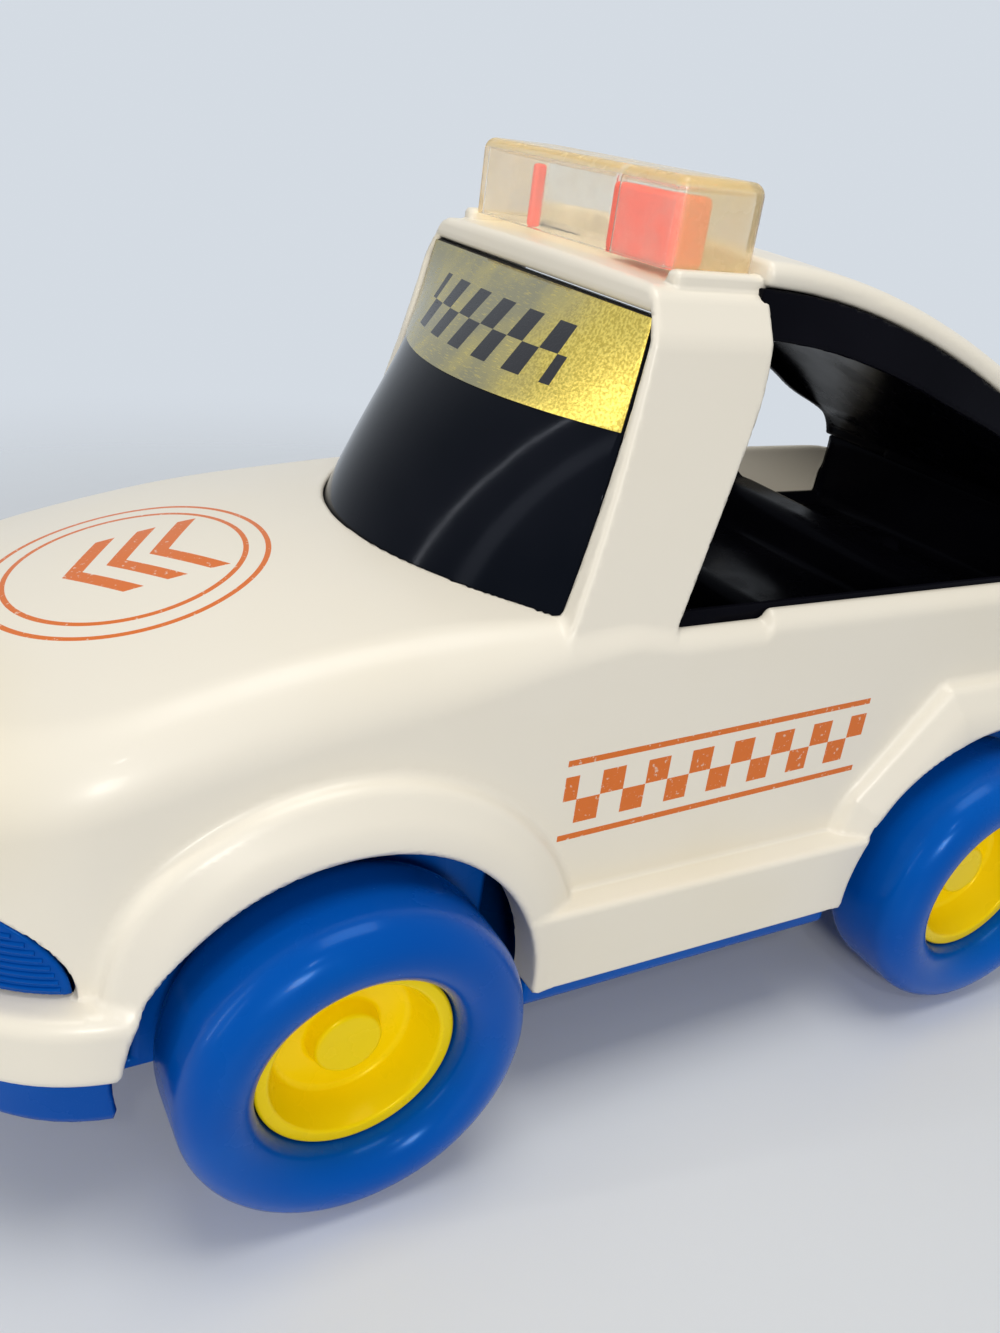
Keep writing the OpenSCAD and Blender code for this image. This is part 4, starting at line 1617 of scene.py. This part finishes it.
    def sheet(self, name: str, front: Array, thick: float) -> bpy.types.Object:
        """Closed sheet behind a grid of points.

        Args:
            name: name of the piece.
            front: points of its front face, by row and column.
            thick: thickness along the car.

        Returns:
            The piece.
        """
        rows, columns, _ = front.shape
        count = rows * columns
        back = front - np.array([thick, 0.0, 0.0])
        number = np.arange(count).reshape(rows, columns)
        corners = [number[:-1, :-1], number[:-1, 1:], number[1:, 1:], number[1:, :-1]]
        faces = np.stack(corners, 2).reshape(-1, 4)
        ring = np.concatenate([number[0, :], number[1:, -1], number[-1, -2::-1], number[-2:0:-1, 0]])
        following = np.roll(ring, -1)
        rim = np.stack([following, ring, ring + count, following + count], axis=1)
        points = np.concatenate([front.reshape(-1, 3), back.reshape(-1, 3)])
        piece = new_piece(name, points, np.concatenate([faces, faces[:, ::-1] + count, rim]))
        edge = piece.modifiers.new("edge", "BEVEL")
        edge.width = thick * 0.25 * MM
        edge.segments = 2
        edge.limit_method = "ANGLE"
        edge.angle_limit = math.radians(50)
        bake_modifiers(piece)
        piece.data.shade_smooth()
        return piece

    def build(self, finishes: Finishes) -> None:
        """Builds the cabin's pieces and dresses them.

        Args:
            finishes: the car's finishes.
        """
        s = self.shape
        tub = Mesher((s.hole_back_x, 0.0, 70.0), (s.screen_x + s.screen_bow, s.hole_y, 107.0), 1.0)
        finishes.dress(tub.build("cabin_tub", self.tub), "black_plastic", Body.CAR, "cabin_liner")
        roof = Mesher((-135.0, 0.0, 103.0), (-4.0, 52.0, 162.0), 0.9)
        lining = roof.build("roof_lining_shell", self.lining)
        finishes.dress(lining, "black_plastic", Body.CAR, "roof_lining")
        top = s.screen_top[2]
        face = self.screen_points(s.belt_z - self.foot, top, 0.0, self.pane_gap, 60)
        pane = self.sheet("smoked_windscreen", face, self.pane_t)
        finishes.dress(pane, "smoked_screen", Body.CAR, "windscreen")
        face = self.screen_points(self.foil_low_z, top - self.pane_gap, self.foil_lift, self.foil_gap, 24)
        finishes.dress(self.sheet("gold_band", face, self.foil_t), "gold_foil", Body.CAR, "screen_band")


@dataclass
class RoofLight:
    """Clear cover with a red block and a red vane inside."""

    wall: float = 1.6
    outer_r: float = 2.4
    inner_r: float = 1.2
    rib_y: float = 15.5
    rib_t: float = 1.4
    rib_depth: float = 3.4
    block_gap: float = 2.0
    block_l: float = 7.0
    block_y: tuple[float, float] = (14.0, 33.6)
    block_r: float = 1.3
    vane_l: float = 2.6
    vane_y: tuple[float, float] = (-15.6, -13.8)
    vane_r: float = 0.7

    def build(self, finishes: Finishes) -> None:
        """Builds the cover and the red pieces from the frame's boxes.

        Args:
            finishes: the car's finishes.
        """
        low, high = box_mm("light_cover")
        wall = self.wall

        def cover(x: Array, y: Array, z: Array) -> Array:
            """Distance field of the cover: an open-bottomed box with a rib behind its front.

            Args:
                x: places along the car.
                y: places across the car.
                z: heights.

            Returns:
                Distances, negative inside.
            """
            p = (x, y, z)
            outer = rounded_box(p, (low[0], -high[1], low[2] - 4), tuple(high), self.outer_r)
            corner = (low[0] + wall, -high[1] + wall, low[2] - 8)
            inner = rounded_box(p, corner, tuple(high - wall), self.inner_r)
            rib = np.maximum(outer + wall / 2, np.abs(y - self.rib_y) - self.rib_t / 2)
            rib = np.maximum(rib, high[0] - self.rib_depth - x)
            return np.maximum(round_min(round_max(outer, -inner, 0.5), rib, 0.4), low[2] - z)

        grid = Mesher(tuple(low), tuple(high), 0.55, mirrored=False)
        finishes.dress(grid.build("light_cover_shell", cover), "clear_cover", Body.CAR, "light_cover")
        base, top = (corner[2] for corner in box_mm("beacon_block"))
        front = high[0] - self.block_gap
        back = front - self.block_l

        def block(x: Array, y: Array, z: Array) -> Array:
            """Distance field of the red block and the thin vane on the other side.

            Args:
                x: places along the car.
                y: places across the car.
                z: heights.

            Returns:
                Distances, negative inside.
            """
            p = (x, y, z)
            main_low = (back, self.block_y[0], base)
            main = rounded_box(p, main_low, (front, self.block_y[1], top), self.block_r)
            vane_low = (front - self.vane_l, self.vane_y[0], base)
            vane = rounded_box(p, vane_low, (front, self.vane_y[1], top), self.vane_r)
            return np.minimum(main, vane)

        grid = Mesher((back, -16.0, base), (front, 34.0, top), 0.5, mirrored=False)
        finishes.dress(grid.build("red_block", block), "red_beacon", Body.CAR, "beacon_block")


@dataclass
class Headlights:
    """Blue ribbed inserts in the corners of the nose."""

    shape: CarShape
    ribs: int = 9
    rib_r: float = 0.45
    rib_pitch: float = 1.4
    rib_sides: int = 10
    rib_points: int = 160
    rib_room: float = 1.0
    set_back: float = 0.7
    thick: float = 3.6

    def field(self, x: Array, y: Array, z: Array) -> Array:
        """Distance field of the left insert.

        Args:
            x: places along the car.
            y: places across the car.
            z: heights.

        Returns:
            Distances, negative inside.
        """
        s = self.shape
        face = s.block(x, y, z, self.set_back)
        skin = np.maximum(face, -(face + self.thick))
        return round_max(skin, s.lamp_window(x, y, z) + 0.1, 0.5)

    def rib_paths(self, side: int) -> tuple[Array, Array]:
        """Lines along the insert's face, one for each rib.

        Args:
            side: 1 on the left, -1 on the right.

        Returns:
            Points and the numbers of each edge's two ends.
        """
        s = self.shape
        n = s.end_power
        t = np.linspace(0.02, 0.999, self.rib_points)
        points = []
        edges = []
        for i in range(self.ribs):
            z = s.bumper_z[1] + self.rib_pitch * (i + 1)
            rise = (z - s.bumper_z[0]) / (s.belt_z - s.bumper_z[0])
            half = s.side_y - s.side_lean * rise - self.set_back
            x = s.nose_x - s.nose_round + (s.nose_round - s.bumper_step - self.set_back) * t
            y = half * (1 - t ** n) ** (1 / n)
            keep = s.lamp_window(x, y, np.full_like(x, z)) < -self.rib_room
            line = np.stack([x, side * y, np.full_like(x, z)], axis=1)[keep]
            first = sum(len(p) for p in points)
            points.append(line)
            number = np.arange(first, first + len(line) - 1)
            edges.append(np.stack([number, number + 1], axis=1))
        return np.concatenate(points), np.concatenate(edges)

    def rib_piece(self, name: str, side: int, material: bpy.types.Material) -> bpy.types.Object:
        """Ribs swept along their paths.

        Args:
            name: name of the piece.
            side: 1 on the left, -1 on the right.
            material: finish of the ribs.

        Returns:
            The ribs as one plain mesh.
        """
        points, edges = self.rib_paths(side)
        mesh = bpy.data.meshes.new(name)
        mesh.from_pydata((points * MM).tolist(), edges.tolist(), [])
        piece = bpy.data.objects.new(name, mesh)
        bpy.context.scene.collection.objects.link(piece)
        tree = NodeTree("sweep_ribs")
        radius = tree.input("Rib radius", "NodeSocketFloat", self.rib_r * MM)
        sides = tree.input("Rib sides", "NodeSocketInt", self.rib_sides)
        finish = tree.input("Finish", "NodeSocketMaterial", material)
        path = tree.add("GeometryNodeMeshToCurve", {}, {"Mesh": tree.start.outputs["Geometry"]})
        ring = tree.add("GeometryNodeCurvePrimitiveCircle", {}, {"Resolution": sides, "Radius": radius})
        sweep = tree.add("GeometryNodeCurveToMesh", {}, {
            "Curve": path.outputs[0],
            "Profile Curve": ring.outputs[0],
            "Fill Caps": True,
        })
        tree.run(piece, sweep.outputs[0], finish)
        return piece

    def build(self, finishes: Finishes) -> None:
        """Builds both inserts and their ribs.

        Args:
            finishes: the car's finishes.
        """
        s = self.shape
        for side, name in ((1, "left"), (-1, "right")):
            def field(x: Array, y: Array, z: Array) -> Array:
                """Distance field of the insert on this side.

                Args:
                    x: places along the car.
                    y: places across the car.
                    z: heights.

                Returns:
                    Distances, negative inside.
                """
                return np.maximum(self.field(x, y * side, z), -y * side)

            low_y, high_y = sorted((side * (s.lamp_in - 1), side * s.side_y))
            low = (s.nose_x - s.lamp_l - 1, low_y, s.bumper_z[1] - 1)
            high = (s.nose_x, high_y, s.bumper_z[1] + s.lamp_h + 1)
            insert = Mesher(low, high, 0.6, mirrored=False).build(f"headlight_{name}_insert", field)
            finishes.dress(insert, "blue_plastic", Body.CAR, f"headlight_{name}")
            ribs = self.rib_piece(f"headlight_{name}_ribs", side, finishes.by_slot["blue_plastic"])
            finishes.dress(ribs, "blue_plastic", Body.CAR)


@dataclass
class Wheels:
    """Turned tyres and hubs on their steel axles."""

    shape: CarShape
    sides: int = 160
    arc_steps: int = 12
    inner_r: float = 3.0
    shoulder_r: float = 6.3
    lip_depth: float = 6.4
    hub_spare: float = 0.4
    hub_gap: float = 0.3
    dish: float = 8.0
    dish_r: float = 12.2
    boss_r: float = 6.4
    boss_h: float = 3.85

    def arc(self, centre: tuple[float, float], r: float, start: float, stop: float) -> Section:
        """Points of an arc in the wheel's section.

        Args:
            centre: its centre, as radius and depth.
            r: its radius.
            start: first angle in degrees.
            stop: last angle in degrees.

        Returns:
            The points.
        """
        angles = np.radians(np.linspace(start, stop, self.arc_steps))
        return [(centre[0] + r * math.cos(a), centre[1] + r * math.sin(a)) for a in angles]

    def tyre_section(self, width: float, bore: float) -> Section:
        """Closed section of a tyre, as radius and depth from its inner face.

        Args:
            width: width of the tyre.
            bore: radius of its hole.

        Returns:
            The points, turning from the inner side over the tread to the outer side.
        """
        outer = self.shape.tyre_r
        small = self.shoulder_r
        lip = self.lip_depth
        big = outer - bore - small
        points = self.arc((bore + self.inner_r, self.inner_r), self.inner_r, 180, 270)
        points += self.arc((outer - big, big), big, -90, 0)
        points += self.arc((outer - big, width - big), big, 0, 90)
        points += [(r, width - lip + (d - width + small) * lip / small)
                   for r, d in self.arc((bore + small, width - small), small, 90, 180)]
        return points

    def hub_section(self, depth: float, r: float) -> Section:
        """Closed section of a hub, as radius and depth from its inner face.

        Args:
            depth: depth of the hub.
            r: radius of its rim.

        Returns:
            The points, turning from the middle of the inner face to the boss.
        """
        floor = depth - self.dish
        boss = self.boss_r
        top = floor + self.boss_h
        points = [(0.0, 0.0), (r - 0.6, 0.0), (r, 0.6)]
        points += self.arc((r - 0.7, depth - 0.7), 0.7, 0, 90)
        points += self.arc((r - 2.0, depth - 0.9), 0.9, 90, 150)
        points += self.arc((self.dish_r, floor + 1.6), 1.6, -30, -90)
        points += self.arc((boss + 1.5, floor + 1.0), 1.0, -90, -170)
        points += self.arc((boss - 0.8, floor + 3.2), 0.8, 10, 90)
        points += [(boss - 1.6, top + 0.1), (2.0, top), (0.0, top)]
        return points

    def turn(self, name: str, section: Section, centre: Array, side: int) -> bpy.types.Object:
        """Turns a section about the axle.

        Args:
            name: name of the piece.
            section: points as radius and depth.
            centre: middle of the inner face.
            side: 1 on the left, -1 on the right.

        Returns:
            The piece.
        """
        outline = np.array(section)
        angles = np.linspace(0, 2 * math.pi, self.sides, endpoint=False)
        r = outline[None, :, 0]
        x = centre[0] + r * np.cos(angles)[:, None]
        z = centre[2] + r * np.sin(angles)[:, None]
        y = np.broadcast_to(centre[1] + side * outline[None, :, 1], x.shape)
        count = len(outline)
        number = np.arange(self.sides * count).reshape(self.sides, count)
        after = np.roll(number, -1, axis=0)
        closed = outline[0, 0] > 0
        last = count if closed else count - 1
        here = np.arange(last)
        following = (here + 1) % count
        faces = np.stack([number[:, here], number[:, following], after[:, following], after[:, here]], 2)
        faces = faces.reshape(-1, 4)
        if side < 0:
            faces = faces[:, ::-1]
        piece = new_piece(name, np.stack([x, y, z], 2).reshape(-1, 3), faces)
        self.mend(piece)
        return piece

    def mend(self, piece: bpy.types.Object) -> None:
        """Closes the poles, turns the faces outwards and keeps sharp edges crisp.

        Args:
            piece: the turned piece.
        """
        work = bmesh.new()
        work.from_mesh(piece.data)
        bmesh.ops.remove_doubles(work, verts=work.verts, dist=0.01 * MM)
        bmesh.ops.recalc_face_normals(work, faces=work.faces)
        work.to_mesh(piece.data)
        work.free()
        piece.data.shade_smooth()
        piece.data.set_sharp_from_angle(angle=math.radians(40))

    def build(self, finishes: Finishes) -> None:
        """Builds the four wheels and dresses the axles.

        Args:
            finishes: the car's finishes.
        """
        for end, body in (("front", Body.FRONT), ("rear", Body.REAR)):
            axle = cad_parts[f"{end}_axle"]
            axle.data.materials.clear()
            axle.data.materials.append(finishes.by_slot["axle_steel"])
            for name, side in (("left", 1), ("right", -1)):
                low, high = box_mm(f"tyre_{end}_{name}")
                hub_low, hub_high = box_mm(f"hub_{end}_{name}")
                hub_r = (hub_high[2] - hub_low[2]) / 2 + self.hub_spare
                middle = (low + high) / 2
                middle[1] = low[1] if side > 0 else high[1]
                section = self.tyre_section(high[1] - low[1], hub_r + self.hub_gap)
                tyre = self.turn(f"{end}_{name}_tyre", section, middle, side)
                finishes.dress(tyre, "blue_tyre", body, f"tyre_{end}_{name}")
                middle[1] = hub_low[1] if side > 0 else hub_high[1]
                section = self.hub_section(hub_high[1] - hub_low[1], hub_r)
                hub = self.turn(f"{end}_{name}_hub", section, middle, side)
                finishes.dress(hub, "yellow_hub", body, f"hub_{end}_{name}")


@dataclass
class Studio:
    """Camera, floor and soft light."""

    focal_px: float = 1163.5
    place: Point = (138.4, 202.3, 183.4)
    yaw: float = -121.86
    pitch: float = 25.75
    roll: float = -8.0
    sensor: float = 36.0
    floor_half: float = 30.0
    fade_mm: tuple[float, float] = (190.0, 520.0)
    pale: Colour = (0.72, 0.75, 0.79)
    backdrop: Colour = (0.66, 0.71, 0.77)
    surround: Colour = (0.86, 0.90, 0.96)
    fill: float = 0.3
    aim: Point = (0.0, 0.0, 0.08)

    def camera(self) -> None:
        """Camera at the photograph's place and angle."""
        data = bpy.data.cameras.new("camera")
        data.sensor_fit = "VERTICAL"
        data.sensor_height = self.sensor
        data.lens = self.focal_px * self.sensor / PHOTO_HEIGHT_PX
        data.clip_start = 0.01
        yaw, pitch, roll = (math.radians(v) for v in (self.yaw, self.pitch, self.roll))
        ahead = Vector((math.cos(yaw) * math.cos(pitch), math.sin(yaw) * math.cos(pitch), -math.sin(pitch)))
        level = Vector((math.sin(yaw), -math.cos(yaw), 0.0))
        down = ahead.cross(level)
        right = level * math.cos(roll) + down * math.sin(roll)
        below = down * math.cos(roll) - level * math.sin(roll)
        turn = Matrix((right, -below, -ahead)).transposed()
        camera = bpy.data.objects.new("camera", data)
        camera.matrix_world = Matrix.Translation(Vector(self.place) * MM) @ turn.to_4x4()
        bpy.context.scene.collection.objects.link(camera)
        bpy.context.scene.camera = camera

    def floor(self) -> None:
        """Plain pale floor that fades into the backdrop."""
        half = self.floor_half / MM
        points = np.array([(-half, -half, 0.0), (half, -half, 0.0), (half, half, 0.0), (-half, half, 0.0)])
        floor = new_piece("floor", points, np.array([[0, 1, 2, 3]]))
        board = Board("pale_floor")
        x, y, _ = board.axes()
        far = (x * x + y * y).root().ramp(*self.fade_mm)
        near = board.node("ShaderNodeBsdfPrincipled", {}, {
            "Base Color": (*self.pale, 1.0),
            "Roughness": 0.4 + board.noise(120.0) * 0.1,
        })
        gone = board.node("ShaderNodeBsdfTransparent", {}, {})
        both = board.node("ShaderNodeMixShader", {}, {0: far, 1: near["BSDF"], 2: gone["BSDF"]})
        board.node("ShaderNodeOutputMaterial", {}, {"Surface": both["Shader"]})
        floor.data.materials.append(board.material)

    def lamp(self, name: str, place: Point, size: tuple[float, float], watts: float, colour: Colour) -> None:
        """Area light that looks at the car.

        Args:
            name: its name.
            place: its place in metres.
            size: its width and height in metres.
            watts: its power.
            colour: its colour.
        """
        data = bpy.data.lights.new(name, "AREA")
        data.shape = "RECTANGLE"
        data.size, data.size_y = size
        data.energy = watts
        data.color = colour
        lamp = bpy.data.objects.new(name, data)
        lamp.location = place
        towards = Vector(self.aim) - Vector(place)
        lamp.rotation_euler = towards.to_track_quat("-Z", "Y").to_euler()
        bpy.context.scene.collection.objects.link(lamp)

    def world(self) -> None:
        """Soft surround that shows the backdrop to the camera, in gloss and through clear plastic."""
        world = bpy.data.worlds.new("surround")
        bpy.context.scene.world = world
        world.use_nodes = True
        tree = world.node_tree
        back = tree.nodes["Background"]
        back.inputs["Color"].default_value = (*self.surround, 1.0)
        back.inputs["Strength"].default_value = self.fill
        seen = tree.nodes.new("ShaderNodeBackground")
        seen.inputs["Color"].default_value = (*self.backdrop, 1.0)
        path = tree.nodes.new("ShaderNodeLightPath")
        either = tree.nodes.new("ShaderNodeMixShader")
        shown = path.outputs["Is Camera Ray"]
        for kind in ("Is Glossy Ray", "Is Transmission Ray"):
            most = tree.nodes.new("ShaderNodeMath")
            most.operation = "MAXIMUM"
            tree.links.new(shown, most.inputs[0])
            tree.links.new(path.outputs[kind], most.inputs[1])
            shown = most.outputs[0]
        tree.links.new(shown, either.inputs[0])
        tree.links.new(back.outputs[0], either.inputs[1])
        tree.links.new(seen.outputs[0], either.inputs[2])
        tree.links.new(either.outputs[0], tree.nodes["World Output"].inputs["Surface"])

    def lamps(self) -> None:
        """Soft boxes above and beside the car, and narrow ones that streak the windscreen."""
        self.lamp("top_box", (0.0, 0.1, 1.1), (0.6, 0.5), 4.8, (1.0, 0.97, 0.91))
        self.lamp("side_box", (0.4, 1.0, 0.5), (0.22, 0.22), 4.6, (1.0, 0.96, 0.89))
        self.lamp("front_box", (1.145, 0.26, 0.4), (0.12, 0.5), 0.7, (1.0, 0.97, 0.92))
        self.lamp("tall_strip", (1.155, -0.12, 0.4), (0.02, 0.8), 1.8, (1.0, 0.96, 0.88))
        self.lamp("small_spot", (0.35, 0.7, 0.8), (0.05, 0.05), 0.5, (1.0, 1.0, 1.0))

    def build(self) -> None:
        """Sets up the studio."""
        bpy.context.scene.view_settings.view_transform = "Standard"
        self.camera()
        self.floor()
        self.world()
        self.lamps()


def write_sizes() -> None:
    """Updates the view layer so that every piece's place is current."""
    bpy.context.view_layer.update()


def main() -> None:
    """Builds the car piece by piece in its studio."""
    logging.basicConfig(level=logging.INFO, format="%(name)s %(message)s")
    Studio().build()
    shape = CarShape.from_frame()
    finishes = Finishes()
    assemblies = (BodyShell(shape), Chassis(shape), Cabin(shape), RoofLight(), Headlights(shape),
                  Wheels(shape))
    for assembly in assemblies:
        assembly.build(finishes)
        LOG.info("%s done", type(assembly).__name__)
    write_sizes()


if __name__ == "__main__":
    main()
